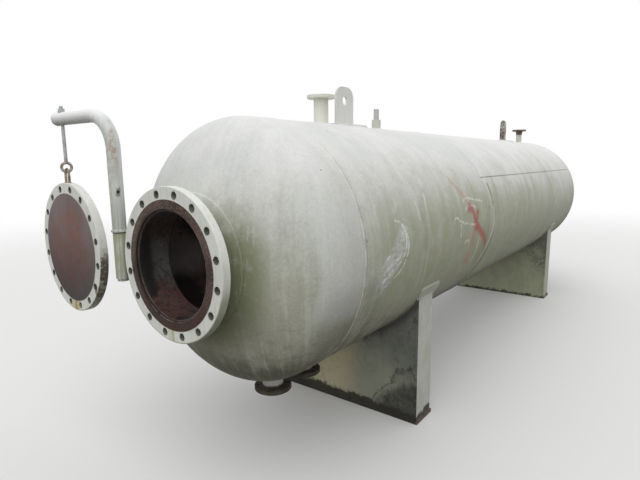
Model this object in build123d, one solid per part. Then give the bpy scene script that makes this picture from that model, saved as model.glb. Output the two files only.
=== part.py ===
from build123d import *
import math
import os

# Horizontal three-phase separator on two saddles, in millimetres.
# The origin lies on the ground under the middle of the front saddle's base plate.
# +X runs along the vessel, away from the manway, and +Z points up.

# Vessel body
AXIS_HEIGHT = 1070.0
VESSEL_DIAMETER = 1219.2
SHELL_WALL = 12.7
HEAD_RATIO = 4.0
HEAD_SKIRT = 105.0
FRONT_COURSE_LENGTH = 1540.0
REAR_COURSE_LENGTH = 2945.0
FRONT_SEAM_TO_SADDLE = 780.0
SADDLE_SPACING = 3090.0

# Gaps: curved seats on one body, and faces that turn on each other
SEAT_GAP = 0.3
TURN_GAP = 0.3

# Manway neck, its flange and the reinforcing pad on the head
MANWAY_PROJECTION = 95.2
NECK_DIAMETER = 457.2
NECK_WALL = 9.5
NECK_RECESS = 12.0
NECK_INSIDE = 25.0
MANWAY_PAD_DIAMETER = 565.0
MANWAY_PAD_THICKNESS = 10.0
MANWAY_FLANGE_DIAMETER = 635.0
MANWAY_FLANGE_THICKNESS = 39.7
MANWAY_HUB_DIAMETER = 505.0
MANWAY_HUB_LENGTH = 68.0
MANWAY_FACE_DIAMETER = 533.4
MANWAY_BOLT_CIRCLE = 577.85
MANWAY_BOLT_HOLE = 31.75
MANWAY_BOLTS = 16
RAISED_FACE = 1.6
FLANGE_CHAMFER = 2.0

# Davit: pivot sleeve beside the manway, bent pipe arm and its shaft
POST_BEHIND_FACE = 26.0
POST_OFFSET = 387.0
DAVIT_PIPE_DIAMETER = 60.3
DAVIT_PIPE_WALL = 5.5
SLEEVE_LENGTH = 212.0
COLLAR_DIAMETER = 73.0
COLLAR_THICKNESS = 8.0
SHAFT_SLACK = 0.4
SHAFT_IN_POST = 120.0
SHAFT_BELOW_SLEEVE = 12.0
ARM_ABOVE_AXIS = 619.0
ARM_BEND_RADIUS = 152.0
ARM_PAST_ROD = 39.0
ARM_CAP_THICKNESS = 5.0
ARM_OPEN_TURN = 3.5
HANDLE_HOLE_DIAMETER = 12.0
HANDLE_HOLE_ABOVE_AXIS = 284.0
HANDLE_HOLE_TURN = -109.0
BRACKET_PLATE = 12.0
BRACKET_HEIGHT = 170.0
BRACKET_DEPTH = 52.0

# Blind flange that closes the manway, its bail and the eyebolt it hangs from
COVER_GAP = 5.0
COVER_OPEN_TURN = 3.3
BAIL_BAR = 12.0
BAIL_WIDTH = 38.0
EYE_ABOVE_AXIS = 391.0
EYE_BAR = 13.0
EYE_MEAN_RADIUS = 21.5
EYE_TURN = 63.0
ROD_DIAMETER = 15.9
ROD_HOLE_DIAMETER = 18.0
ROD_PAST_NUT = 12.0
WASHER_DIAMETER = 34.0
WASHER_THICKNESS = 2.5
NUT_WIDTH = 27.0
NUT_HEIGHT = 13.5

# Nozzles: flange diameter, thickness, raised face, bolt circle, hole, barrel and bore
SMALL_FLANGE = dict(diameter=152.4, thickness=19.1, face=92.1, circle=120.65, hole=19.05, barrel=79.0, bore=52.5)
LARGE_FLANGE = dict(diameter=190.5, thickness=23.9, face=127.0, circle=152.4, hole=19.05, barrel=108.0, bore=77.9)
NOZZLE_BOLTS = 4
SHELL_HOLE_ROOM = 1.25
TOP_NOZZLE_HEIGHT = 152.0
FRONT_NOZZLE_FROM_SEAM = 513.0
REAR_NOZZLE_FROM_SEAM = 44.0
WELD_NECK_HUB_LENGTH = 63.5
WELD_NECK_HUB_DIAMETER = 77.7
REAR_NECK_DIAMETER = 60.3
DRAIN_NOZZLE_DEPTH = 141.0
FRONT_DRAIN_FROM_SEAM = 77.0
DRAIN_SPACING = 246.0

# Lifting lugs on their pads
LUG_WIDTH = 174.0
LUG_HEIGHT = 219.0
LUG_THICKNESS = 12.7
LUG_CORNER = 62.0
LUG_EYE_DIAMETER = 50.0
LUG_EYE_HEIGHT = 143.0
LUG_PAD_LENGTH = 228.0
LUG_PAD_WIDTH = 170.0
LUG_PAD_THICKNESS = 10.0
FRONT_LUG_BEFORE_SADDLE = 44.0
REAR_LUG_BEFORE_SADDLE = 66.0

# Half coupling with a pipe nipple on the front course
COUPLING_FROM_SEAM = 1101.0
COUPLING_DIAMETER = 57.0
COUPLING_HEIGHT = 58.0
NIPPLE_DIAMETER = 33.4
NIPPLE_WALL = 3.4
NIPPLE_TOP = 124.0
NIPPLE_ENGAGEMENT = 20.0
NIPPLE_THREAD_DIAMETER = 32.6
NIPPLE_THREAD_LENGTH = 24.0

# Saddles
SADDLE_LENGTH = 174.0
SADDLE_INSET = 89.6
WEAR_PLATE_LENGTH = 220.0
WEAR_PLATE_THICKNESS = 10.0
WEAR_PLATE_HALF_ANGLE = 63.8
WEAR_PLATE_CORNER = 20.0
SADDLE_PLATE = 12.7
WEB_SETBACK = 4.0
BASE_PLATE_THICKNESS = 19.0
BASE_PLATE_MARGIN = 8.0
ANCHOR_HOLE_DIAMETER = 25.0
ANCHOR_SPACING = 640.0

# Derived sizes
SHELL_RADIUS = VESSEL_DIAMETER / 2
INNER_RADIUS = SHELL_RADIUS - SHELL_WALL
HEAD_DEPTH = VESSEL_DIAMETER / HEAD_RATIO
FRONT_SEAM = -FRONT_SEAM_TO_SADDLE
MIDDLE_SEAM = FRONT_SEAM + FRONT_COURSE_LENGTH
REAR_SEAM = MIDDLE_SEAM + REAR_COURSE_LENGTH
FRONT_TANGENT = FRONT_SEAM - HEAD_SKIRT
REAR_TANGENT = REAR_SEAM + HEAD_SKIRT
MANWAY_FACE = FRONT_TANGENT - HEAD_DEPTH - MANWAY_PROJECTION
NECK_RADIUS = NECK_DIAMETER / 2
POST_X = MANWAY_FACE + POST_BEHIND_FACE
COVER_HALF = MANWAY_FLANGE_THICKNESS / 2
CLOSED_ROD_X = MANWAY_FACE - COVER_GAP - COVER_HALF
ARM_REACH = math.hypot(CLOSED_ROD_X - POST_X, POST_OFFSET)
ARM_AZIMUTH = 90.0 + ARM_OPEN_TURN
ROD_X = POST_X + ARM_REACH * math.cos(math.radians(ARM_AZIMUTH))
ROD_Y = POST_OFFSET + ARM_REACH * math.sin(math.radians(ARM_AZIMUTH))
COVER_AZIMUTH = 180.0 - COVER_OPEN_TURN
CLOSED_AZIMUTH = math.degrees(math.atan2(-POST_OFFSET, CLOSED_ROD_X - POST_X)) % 360.0
DAVIT_SWING = CLOSED_AZIMUTH - ARM_AZIMUTH
COVER_SWIVEL = 360.0 - COVER_AZIMUTH - DAVIT_SWING
PIPE_RADIUS = DAVIT_PIPE_DIAMETER / 2
PIPE_BORE_RADIUS = PIPE_RADIUS - DAVIT_PIPE_WALL
SHAFT_RADIUS = PIPE_BORE_RADIUS - SHAFT_SLACK
SLEEVE_TOP = AXIS_HEIGHT + SLEEVE_LENGTH / 2
SLEEVE_BOTTOM = AXIS_HEIGHT - SLEEVE_LENGTH / 2
COLLAR_BOTTOM = SLEEVE_TOP + TURN_GAP
COLLAR_TOP = COLLAR_BOTTOM + COLLAR_THICKNESS
ARM_HEIGHT = AXIS_HEIGHT + ARM_ABOVE_AXIS
SADDLE_SEAT_RADIUS = SHELL_RADIUS + SEAT_GAP + WEAR_PLATE_THICKNESS
SADDLE_HALF_WIDTH = SHELL_RADIUS - SADDLE_INSET

parts = {}


def on_vessel_axis(x):
    """A place on the vessel axis whose local Z points along +X."""
    return Plane(origin=(x, 0, AXIS_HEIGHT), x_dir=(0, 1, 0), z_dir=(1, 0, 0))


def rod_along_x(radius, x0, x1):
    """A solid cylinder on the vessel axis."""
    return on_vessel_axis(x0) * Cylinder(radius, x1 - x0, align=(Align.CENTER, Align.CENTER, Align.MIN))


def tube_along_x(outer, inner, x0, x1):
    """A hollow cylinder on the vessel axis."""
    return rod_along_x(outer, x0, x1) - rod_along_x(inner, x0 - 1, x1 + 1)


def rod_along_z(radius, z0, z1, x=0.0, y=0.0):
    """An upright solid cylinder."""
    return Pos(x, y, z0) * Cylinder(radius, z1 - z0, align=(Align.CENTER, Align.CENTER, Align.MIN))


def tube_along_z(outer, inner, z0, z1, x=0.0, y=0.0):
    """An upright hollow cylinder."""
    return rod_along_z(outer, z0, z1, x, y) - rod_along_z(inner, z0 - 1, z1 + 1, x, y)


def block(x0, x1, y0, y1, z0, z1):
    """A box given by its lowest and highest corners."""
    return Pos((x0 + x1) / 2, (y0 + y1) / 2, (z0 + z1) / 2) * Box(x1 - x0, y1 - y0, z1 - z0)


def dish(outer_radius, outer_depth, wall, skirt):
    """An ellipsoidal head on the X axis, its tangent line at x = 0 and its crown at +X."""
    inner_radius = outer_radius - wall
    inner_depth = outer_depth - wall
    with BuildSketch() as section:
        with BuildLine():
            Line((-skirt, inner_radius), (-skirt, outer_radius))
            Line((-skirt, outer_radius), (0, outer_radius))
            EllipticalCenterArc((0, 0), outer_depth, outer_radius, start_angle=0, arc_size=90)
            Line((outer_depth, 0), (inner_depth, 0))
            EllipticalCenterArc((0, 0), inner_depth, inner_radius, start_angle=0, arc_size=90)
            Line((0, inner_radius), (-skirt, inner_radius))
        make_face()
    return revolve(section.sketch, axis=Axis.X, revolution_arc=360)


def front_dish(outer_radius, outer_depth, wall, skirt):
    """The same head turned to bulge toward -X at the front tangent line."""
    turned = Rot(0, 0, 180) * dish(outer_radius, outer_depth, wall, skirt)
    return Pos(FRONT_TANGENT, 0, AXIS_HEIGHT) * turned


def bolt_holes(circle, hole, count, length):
    """Through holes on a bolt circle in the local XY plane, straddling the centrelines."""
    half_step = 180.0 / count
    places = PolarLocations(circle / 2, count, start_angle=half_step)
    return [place * Cylinder(hole / 2, length) for place in places]


def pipe_flange(diameter, thickness, face, circle, hole, bolts, bore):
    """A raised-face flange whose gasket face lies in the local XY plane, facing +Z."""
    rim = Pos(0, 0, -RAISED_FACE) * Cylinder(
        diameter / 2, thickness - RAISED_FACE, align=(Align.CENTER, Align.CENTER, Align.MAX)
    )
    rim = chamfer(rim.edges().filter_by(GeomType.CIRCLE), FLANGE_CHAMFER)
    rim += Cylinder(face / 2, thickness, align=(Align.CENTER, Align.CENTER, Align.MAX))
    for drill in bolt_holes(circle, hole, bolts, 4 * thickness):
        rim -= drill
    if bore:
        rim -= Cylinder(bore / 2, 4 * thickness)
    return rim


def long_neck_nozzle(size, reach):
    """A forged nozzle: flange face at local z = 0, straight barrel down to the shell."""
    flange = pipe_flange(
        size["diameter"], size["thickness"], size["face"], size["circle"], size["hole"], NOZZLE_BOLTS, None
    )
    barrel = Cylinder(size["barrel"] / 2, reach, align=(Align.CENTER, Align.CENTER, Align.MAX))
    nozzle = flange + barrel
    return nozzle - Cylinder(size["bore"] / 2, 3 * reach)


def on_top(x, above_shell):
    """A place over the vessel's top line, local Z up."""
    return Pos(x, 0, AXIS_HEIGHT + SHELL_RADIUS + above_shell)


def under_belly(x, below_shell):
    """A place under the vessel's bottom line, local Z down."""
    return Pos(x, 0, AXIS_HEIGHT - SHELL_RADIUS - below_shell) * Rot(180, 0, 0)


# Places along the vessel
FRONT_NOZZLE_X = FRONT_SEAM + FRONT_NOZZLE_FROM_SEAM
REAR_NOZZLE_X = REAR_SEAM - REAR_NOZZLE_FROM_SEAM
FRONT_DRAIN_X = FRONT_SEAM + FRONT_DRAIN_FROM_SEAM
REAR_DRAIN_X = FRONT_DRAIN_X + DRAIN_SPACING
COUPLING_X = FRONT_SEAM + COUPLING_FROM_SEAM
FRONT_LUG_X = -FRONT_LUG_BEFORE_SADDLE
REAR_LUG_X = SADDLE_SPACING - REAR_LUG_BEFORE_SADDLE

shell_outside = rod_along_x(SHELL_RADIUS + SEAT_GAP, FRONT_SEAM - 1, REAR_SEAM + 1)


def shell_hole(bore, x, side):
    """The hole in the top (side 1) or bottom (side -1), a little wider all round than the bore above it."""
    radius = bore / 2 + SHELL_HOLE_ROOM
    middle = AXIS_HEIGHT + side * SHELL_RADIUS
    return rod_along_z(radius, middle - SHELL_RADIUS / 2, middle + SHELL_RADIUS / 2, x)


# Shell courses, with the holes for the nozzles
nipple_bore = NIPPLE_DIAMETER / 2 - NIPPLE_WALL

front_course = tube_along_x(SHELL_RADIUS, INNER_RADIUS, FRONT_SEAM, MIDDLE_SEAM)
front_course -= shell_hole(SMALL_FLANGE["bore"], FRONT_NOZZLE_X, 1)
front_course -= shell_hole(2 * nipple_bore, COUPLING_X, 1)
front_course -= shell_hole(LARGE_FLANGE["bore"], FRONT_DRAIN_X, -1)
front_course -= shell_hole(LARGE_FLANGE["bore"], REAR_DRAIN_X, -1)
parts["front_course"] = front_course

rear_course = tube_along_x(SHELL_RADIUS, INNER_RADIUS, MIDDLE_SEAM, REAR_SEAM)
rear_course -= shell_hole(SMALL_FLANGE["bore"], REAR_NOZZLE_X, 1)
parts["rear_course"] = rear_course

# Heads
front_head = front_dish(SHELL_RADIUS, HEAD_DEPTH, SHELL_WALL, HEAD_SKIRT)
neck_outside = rod_along_x(NECK_RADIUS + SEAT_GAP, MANWAY_FACE, FRONT_SEAM)
parts["front_head"] = front_head - neck_outside
parts["rear_head"] = Pos(REAR_TANGENT, 0, AXIS_HEIGHT) * dish(SHELL_RADIUS, HEAD_DEPTH, SHELL_WALL, HEAD_SKIRT)

# Manway neck, reinforcing pad and flange
head_at_neck = math.sqrt(1 - (NECK_RADIUS / SHELL_RADIUS) ** 2)
neck_end = FRONT_TANGENT - HEAD_DEPTH * head_at_neck + SHELL_WALL + NECK_INSIDE
parts["manway_neck"] = tube_along_x(
    NECK_RADIUS, NECK_RADIUS - NECK_WALL, MANWAY_FACE + NECK_RECESS, neck_end
)

pad_shell = front_dish(
    SHELL_RADIUS + SEAT_GAP + MANWAY_PAD_THICKNESS,
    HEAD_DEPTH + SEAT_GAP + MANWAY_PAD_THICKNESS,
    MANWAY_PAD_THICKNESS,
    HEAD_SKIRT,
)
pad_keep = rod_along_x(MANWAY_PAD_DIAMETER / 2, MANWAY_FACE, FRONT_TANGENT)
parts["manway_pad"] = (pad_shell & pad_keep) - neck_outside

facing_out = Plane(origin=(MANWAY_FACE, 0, AXIS_HEIGHT), x_dir=(0, 1, 0), z_dir=(-1, 0, 0))
manway_flange = facing_out * pipe_flange(
    MANWAY_FLANGE_DIAMETER, MANWAY_FLANGE_THICKNESS, MANWAY_FACE_DIAMETER,
    MANWAY_BOLT_CIRCLE, MANWAY_BOLT_HOLE, MANWAY_BOLTS, None
)
hub_start = MANWAY_FACE + MANWAY_FLANGE_THICKNESS
manway_flange += rod_along_x(MANWAY_HUB_DIAMETER / 2, hub_start, MANWAY_FACE + MANWAY_HUB_LENGTH)
parts["manway_flange"] = manway_flange - rod_along_x(NECK_RADIUS + SEAT_GAP, MANWAY_FACE - 1, FRONT_SEAM)

# Davit sleeve, and the bracket that carries it behind the manway flange
parts["davit_sleeve"] = tube_along_z(
    PIPE_RADIUS, PIPE_BORE_RADIUS, SLEEVE_BOTTOM, SLEEVE_TOP, POST_X, POST_OFFSET
)
bracket_front = hub_start + SEAT_GAP
half_height = BRACKET_HEIGHT / 2
bracket = block(
    bracket_front, bracket_front + BRACKET_PLATE, 0, POST_OFFSET,
    AXIS_HEIGHT - half_height, AXIS_HEIGHT + half_height
)
for edge_z in (AXIS_HEIGHT - half_height, AXIS_HEIGHT + half_height - BRACKET_PLATE):
    bracket += block(
        bracket_front, bracket_front + BRACKET_DEPTH, 0, POST_OFFSET, edge_z, edge_z + BRACKET_PLATE
    )
bracket -= rod_along_x(MANWAY_HUB_DIAMETER / 2 + SEAT_GAP, MANWAY_FACE, MANWAY_FACE + MANWAY_HUB_LENGTH)
bracket -= neck_outside
bracket -= rod_along_z(PIPE_RADIUS + SEAT_GAP, 0, ARM_HEIGHT, POST_X, POST_OFFSET)
head_and_pad = MANWAY_PAD_THICKNESS + 2 * SEAT_GAP
bracket -= front_dish(
    SHELL_RADIUS + head_and_pad, HEAD_DEPTH + head_and_pad, SHELL_WALL + head_and_pad, HEAD_SKIRT
)
bracket -= Pos(POST_X, POST_OFFSET, AXIS_HEIGHT) * Rot(0, 0, 45) * block(
    0, ARM_REACH, -ARM_REACH, ARM_REACH, -BRACKET_HEIGHT, BRACKET_HEIGHT
)
parts["davit_bracket"] = bracket.solids().sort_by(SortBy.VOLUME)[-1]


def on_post(local):
    """Places a shape drawn with the post on Z and the arm along +X at the open position."""
    return Pos(POST_X, POST_OFFSET, 0) * Rot(0, 0, ARM_AZIMUTH) * local


# Davit arm: upright pipe, quarter bend and level pipe as one bent pipe
bend_start = ARM_HEIGHT - ARM_BEND_RADIUS
arm_end = ARM_REACH + ARM_PAST_ROD
pipe_ring = Circle(PIPE_RADIUS) - Circle(PIPE_BORE_RADIUS)
bend = revolve(
    Pos(0, 0, bend_start) * pipe_ring,
    axis=Axis((ARM_BEND_RADIUS, 0, bend_start), (0, 1, 0)),
    revolution_arc=90,
)
level_start = Plane(origin=(ARM_BEND_RADIUS, 0, ARM_HEIGHT), x_dir=(0, 1, 0), z_dir=(1, 0, 0))
level_pipe = extrude(level_start * pipe_ring, amount=arm_end - ARM_BEND_RADIUS)
arm = tube_along_z(PIPE_RADIUS, PIPE_BORE_RADIUS, COLLAR_TOP, bend_start) + bend + level_pipe
arm -= rod_along_z(ROD_HOLE_DIAMETER / 2, AXIS_HEIGHT, ARM_HEIGHT + DAVIT_PIPE_DIAMETER, ARM_REACH)
arm = on_post(arm)
handle_hole = Pos(POST_X, POST_OFFSET, AXIS_HEIGHT + HANDLE_HOLE_ABOVE_AXIS) * Rot(0, 0, HANDLE_HOLE_TURN)
arm -= handle_hole * Rot(0, 90, 0) * Cylinder(
    HANDLE_HOLE_DIAMETER / 2, DAVIT_PIPE_DIAMETER, align=(Align.CENTER, Align.CENTER, Align.MIN)
)
parts["davit_arm"] = arm
cap_plane = Plane(origin=(arm_end, 0, ARM_HEIGHT), x_dir=(0, 1, 0), z_dir=(1, 0, 0))
parts["davit_end_cap"] = on_post(extrude(cap_plane * Circle(PIPE_RADIUS), amount=ARM_CAP_THICKNESS))
parts["davit_collar"] = on_post(
    tube_along_z(COLLAR_DIAMETER / 2, SHAFT_RADIUS + SEAT_GAP, COLLAR_BOTTOM, COLLAR_TOP)
)
parts["davit_shaft"] = on_post(
    rod_along_z(SHAFT_RADIUS, SLEEVE_BOTTOM - SHAFT_BELOW_SLEEVE, COLLAR_TOP + SHAFT_IN_POST)
)


def on_rod(local):
    """Places a shape drawn with the eyebolt rod on Z and the cover's gasket face toward +X."""
    return Pos(ROD_X, ROD_Y, 0) * Rot(0, 0, COVER_AZIMUTH) * local


# Manway cover: a blind flange that hangs from the davit by a bail and an eyebolt
cover_face = Plane(origin=(COVER_HALF, 0, AXIS_HEIGHT), x_dir=(0, 1, 0), z_dir=(1, 0, 0))
cover = cover_face * pipe_flange(
    MANWAY_FLANGE_DIAMETER, MANWAY_FLANGE_THICKNESS, MANWAY_FACE_DIAMETER,
    MANWAY_BOLT_CIRCLE, MANWAY_BOLT_HOLE, MANWAY_BOLTS, None
)
parts["manway_cover"] = on_rod(cover)

eye_height = AXIS_HEIGHT + EYE_ABOVE_AXIS
bail_crown = eye_height - EYE_MEAN_RADIUS + EYE_BAR / 2 + BAIL_BAR / 2 + SEAT_GAP
bail_shoulder = bail_crown - BAIL_WIDTH / 2
bail_section = Plane(origin=(0, BAIL_WIDTH / 2, bail_shoulder)) * Circle(BAIL_BAR / 2)
bail = revolve(bail_section, axis=Axis((0, 0, bail_shoulder), (1, 0, 0)), revolution_arc=180)
for side in (-1, 1):
    bail += rod_along_z(BAIL_BAR / 2, AXIS_HEIGHT, bail_shoulder, 0, side * BAIL_WIDTH / 2)
cover_rim = Plane(origin=(-COVER_HALF, 0, AXIS_HEIGHT), x_dir=(0, 1, 0), z_dir=(1, 0, 0)) * Cylinder(
    MANWAY_FLANGE_DIAMETER / 2 + SEAT_GAP, 2 * MANWAY_FLANGE_THICKNESS
)
parts["cover_bail"] = on_rod(bail - cover_rim)

washer_bottom = ARM_HEIGHT + PIPE_RADIUS + TURN_GAP
nut_bottom = washer_bottom + WASHER_THICKNESS
rod_top = nut_bottom + NUT_HEIGHT + ROD_PAST_NUT
eye = Pos(0, 0, eye_height) * Rot(90, 0, 0) * Torus(EYE_MEAN_RADIUS, EYE_BAR / 2)
shank = rod_along_z(ROD_DIAMETER / 2, eye_height + EYE_MEAN_RADIUS, rod_top)
shank = chamfer(shank.edges().sort_by(Axis.Z)[-1], FLANGE_CHAMFER)
eyebolt = Pos(ROD_X, ROD_Y, 0) * Rot(0, 0, EYE_TURN + 90.0) * (eye + shank)
parts["eyebolt"] = eyebolt
parts["eyebolt_washer"] = on_rod(
    tube_along_z(WASHER_DIAMETER / 2, ROD_DIAMETER / 2 + SEAT_GAP, washer_bottom, nut_bottom)
)
nut = Pos(0, 0, nut_bottom) * extrude(
    RegularPolygon(NUT_WIDTH / 2, 6, major_radius=False), amount=NUT_HEIGHT
)
nut -= rod_along_z(ROD_DIAMETER / 2 + SEAT_GAP, nut_bottom - 1, nut_bottom + NUT_HEIGHT + 1)
parts["eyebolt_nut"] = on_rod(nut)

# Nozzles, set on the shell: one forging each, apart from the rear top one with its pipe neck and weld-neck flange
barrel_reach = SHELL_RADIUS / 2
parts["front_top_nozzle"] = (
    on_top(FRONT_NOZZLE_X, TOP_NOZZLE_HEIGHT) * long_neck_nozzle(SMALL_FLANGE, barrel_reach) - shell_outside
)
for name, x in (("front_drain_nozzle", FRONT_DRAIN_X), ("rear_drain_nozzle", REAR_DRAIN_X)):
    parts[name] = (
        under_belly(x, DRAIN_NOZZLE_DEPTH) * long_neck_nozzle(LARGE_FLANGE, barrel_reach) - shell_outside
    )

rear_flange = pipe_flange(
    SMALL_FLANGE["diameter"], SMALL_FLANGE["thickness"], SMALL_FLANGE["face"],
    SMALL_FLANGE["circle"], SMALL_FLANGE["hole"], NOZZLE_BOLTS, None
)
hub_top = -SMALL_FLANGE["thickness"]
rear_flange += Pos(0, 0, (hub_top - WELD_NECK_HUB_LENGTH) / 2) * Rot(180, 0, 0) * Cone(
    WELD_NECK_HUB_DIAMETER / 2, REAR_NECK_DIAMETER / 2, WELD_NECK_HUB_LENGTH + hub_top
)
rear_flange -= Cylinder(SMALL_FLANGE["bore"] / 2, 4 * WELD_NECK_HUB_LENGTH)
parts["rear_top_flange"] = on_top(REAR_NOZZLE_X, TOP_NOZZLE_HEIGHT) * rear_flange
rear_neck = tube_along_z(
    REAR_NECK_DIAMETER / 2, SMALL_FLANGE["bore"] / 2,
    AXIS_HEIGHT + SHELL_RADIUS / 2, AXIS_HEIGHT + SHELL_RADIUS + TOP_NOZZLE_HEIGHT - WELD_NECK_HUB_LENGTH,
    REAR_NOZZLE_X
)
parts["rear_top_neck"] = rear_neck - shell_outside

# Half coupling and nipple
coupling = on_top(COUPLING_X, COUPLING_HEIGHT) * Cylinder(
    COUPLING_DIAMETER / 2, 2 * COUPLING_HEIGHT, align=(Align.CENTER, Align.CENTER, Align.MAX)
)
coupling -= shell_outside
coupling -= rod_along_z(nipple_bore, AXIS_HEIGHT, 2 * AXIS_HEIGHT, COUPLING_X)
coupling_top = AXIS_HEIGHT + SHELL_RADIUS + COUPLING_HEIGHT
coupling -= rod_along_z(
    NIPPLE_DIAMETER / 2 + SEAT_GAP, coupling_top - NIPPLE_ENGAGEMENT, coupling_top + 1, COUPLING_X
)
parts["half_coupling"] = coupling
nipple_top = AXIS_HEIGHT + SHELL_RADIUS + NIPPLE_TOP
thread_start = nipple_top - NIPPLE_THREAD_LENGTH
nipple = rod_along_z(NIPPLE_DIAMETER / 2, coupling_top - NIPPLE_ENGAGEMENT, thread_start, COUPLING_X)
nipple += rod_along_z(NIPPLE_THREAD_DIAMETER / 2, thread_start, nipple_top, COUPLING_X)
parts["nipple"] = nipple - rod_along_z(nipple_bore, AXIS_HEIGHT, 2 * nipple_top, COUPLING_X)


def lifting_lug(x):
    """An upright eye plate along the vessel with rounded shoulders, standing on its pad."""
    foot = SEAT_GAP + LUG_PAD_THICKNESS
    height = LUG_HEIGHT - foot
    outline = Pos(0, height / 2) * Rectangle(LUG_WIDTH, height)
    shoulders = outline.vertices().sort_by(Axis.Y)[-2:]
    outline = fillet(shoulders, LUG_CORNER)
    outline -= Pos(0, LUG_EYE_HEIGHT - foot) * Circle(LUG_EYE_DIAMETER / 2)
    upright = Plane(origin=(x, 0, AXIS_HEIGHT + SHELL_RADIUS + foot), x_dir=(1, 0, 0), z_dir=(0, -1, 0))
    return extrude(upright * outline, amount=LUG_THICKNESS / 2, both=True)


def lug_pad(x):
    """The curved plate under a lug."""
    inner = SHELL_RADIUS + SEAT_GAP
    half = LUG_PAD_LENGTH / 2
    ring = tube_along_x(inner + LUG_PAD_THICKNESS, inner, x - half, x + half)
    keep = block(x - half, x + half, -LUG_PAD_WIDTH / 2, LUG_PAD_WIDTH / 2, AXIS_HEIGHT, 2 * AXIS_HEIGHT)
    return ring & keep


for name, x in (("front", FRONT_LUG_X), ("rear", REAR_LUG_X)):
    parts[name + "_lifting_lug"] = lifting_lug(x)
    parts[name + "_lug_pad"] = lug_pad(x)


def wear_plate(x):
    """The curved plate between the shell and a saddle, its ends rounded at the corners."""
    inner = SHELL_RADIUS + SEAT_GAP
    half = WEAR_PLATE_LENGTH / 2
    ring = tube_along_x(inner + WEAR_PLATE_THICKNESS, inner, x - half, x + half)
    edge_z = AXIS_HEIGHT - inner * math.cos(math.radians(WEAR_PLATE_HALF_ANGLE))
    keep = block(x - half, x + half, -VESSEL_DIAMETER, VESSEL_DIAMETER, 0, edge_z)
    corners = keep.edges().filter_by(Axis.Y).sort_by(Axis.Z)[-2:]
    return ring & fillet(corners, WEAR_PLATE_CORNER)


def under_seat(shape, x):
    """Cuts a saddle plate to the outside of the wear plate."""
    return shape - rod_along_x(SADDLE_SEAT_RADIUS, x - SADDLE_LENGTH, x + SADDLE_LENGTH)


for name, x in (("front", 0.0), ("rear", SADDLE_SPACING)):
    front = x - SADDLE_LENGTH / 2
    back = x + SADDLE_LENGTH / 2
    inside = SADDLE_HALF_WIDTH - SADDLE_PLATE
    web_back = front + WEB_SETBACK + SADDLE_PLATE
    parts[name + "_wear_plate"] = wear_plate(x)
    base = block(
        front - BASE_PLATE_MARGIN, back + BASE_PLATE_MARGIN,
        -SADDLE_HALF_WIDTH - BASE_PLATE_MARGIN, SADDLE_HALF_WIDTH + BASE_PLATE_MARGIN,
        0, BASE_PLATE_THICKNESS
    )
    for side in (-1, 1):
        base -= rod_along_z(ANCHOR_HOLE_DIAMETER / 2, -1, BASE_PLATE_THICKNESS + 1, x, side * ANCHOR_SPACING / 2)
    parts[name + "_base_plate"] = base
    web = block(front + WEB_SETBACK, web_back, -inside, inside, BASE_PLATE_THICKNESS, AXIS_HEIGHT)
    parts[name + "_web"] = under_seat(web, x)
    half_plate = SADDLE_PLATE / 2
    rib = block(web_back, back, -half_plate, half_plate, BASE_PLATE_THICKNESS, AXIS_HEIGHT)
    parts[name + "_middle_rib"] = under_seat(rib, x)
    for hand, y0 in (("right", -SADDLE_HALF_WIDTH), ("left", inside)):
        end = block(front, back, y0, y0 + SADDLE_PLATE, BASE_PLATE_THICKNESS, AXIS_HEIGHT)
        parts[name + "_" + hand + "_end_plate"] = under_seat(end, x)

os.makedirs("parts", exist_ok=True)
for name, shape in parts.items():
    export_step(shape if isinstance(shape, Part) else Part() + shape, "parts/" + name + ".step")

print("nodes", len(parts))
print("manway face x", MANWAY_FACE, "post", POST_X, POST_OFFSET, "reach", ARM_REACH)
print("rod at rest", ROD_X, ROD_Y, "swing", DAVIT_SWING, "swivel", COVER_SWIVEL)
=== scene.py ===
import math
import bmesh
import bpy
from mathutils import Matrix, Vector


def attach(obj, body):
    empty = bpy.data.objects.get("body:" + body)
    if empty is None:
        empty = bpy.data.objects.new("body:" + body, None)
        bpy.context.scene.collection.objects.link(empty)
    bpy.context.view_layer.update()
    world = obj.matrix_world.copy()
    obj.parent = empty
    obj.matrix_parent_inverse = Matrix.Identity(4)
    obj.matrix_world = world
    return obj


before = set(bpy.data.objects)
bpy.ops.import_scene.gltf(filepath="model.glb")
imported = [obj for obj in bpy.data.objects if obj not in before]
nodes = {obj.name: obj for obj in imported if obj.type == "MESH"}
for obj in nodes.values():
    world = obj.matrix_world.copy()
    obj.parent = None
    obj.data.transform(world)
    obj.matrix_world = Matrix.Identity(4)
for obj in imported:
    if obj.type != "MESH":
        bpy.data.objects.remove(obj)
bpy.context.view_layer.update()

# Sizes of the vessel, in metres
AXIS = 1.07
RADIUS = 0.6096
WALL = 0.0127
FRONT_TANGENT = -0.885
REAR_TANGENT = 3.81
HEAD_DEPTH = 0.3048
SEAMS = (-0.78, 0.76, 3.705)
SEAM_HALF = 0.0075
SEAM_CROWN = 0.0014
PLATE = 0.0103
TOP = AXIS + RADIUS
SEAT_RADIUS = RADIUS + PLATE
NECK_RADIUS = 0.2286
PAD_RADIUS = 0.2825
COUPLING_X = 0.321
REAR_NECK_X = 3.661
REAR_NECK_RADIUS = 0.03015
REAR_NECK_TOP = TOP + 0.0885
LUGS = {"front": -0.044, "rear": 3.024}

# Sizes of the saddles
SADDLES = {"front": 0.0, "rear": 3.09}
SADDLE_HALF = 0.52
SADDLE_REACH = 0.087
SADDLE_PLATE = 0.0127
WEB_SETBACK = 0.004
WEB_END = SADDLE_HALF - SADDLE_PLATE
BASE_TOP = 0.019
WEAR_HALF = math.radians(63.8) * RADIUS

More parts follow.
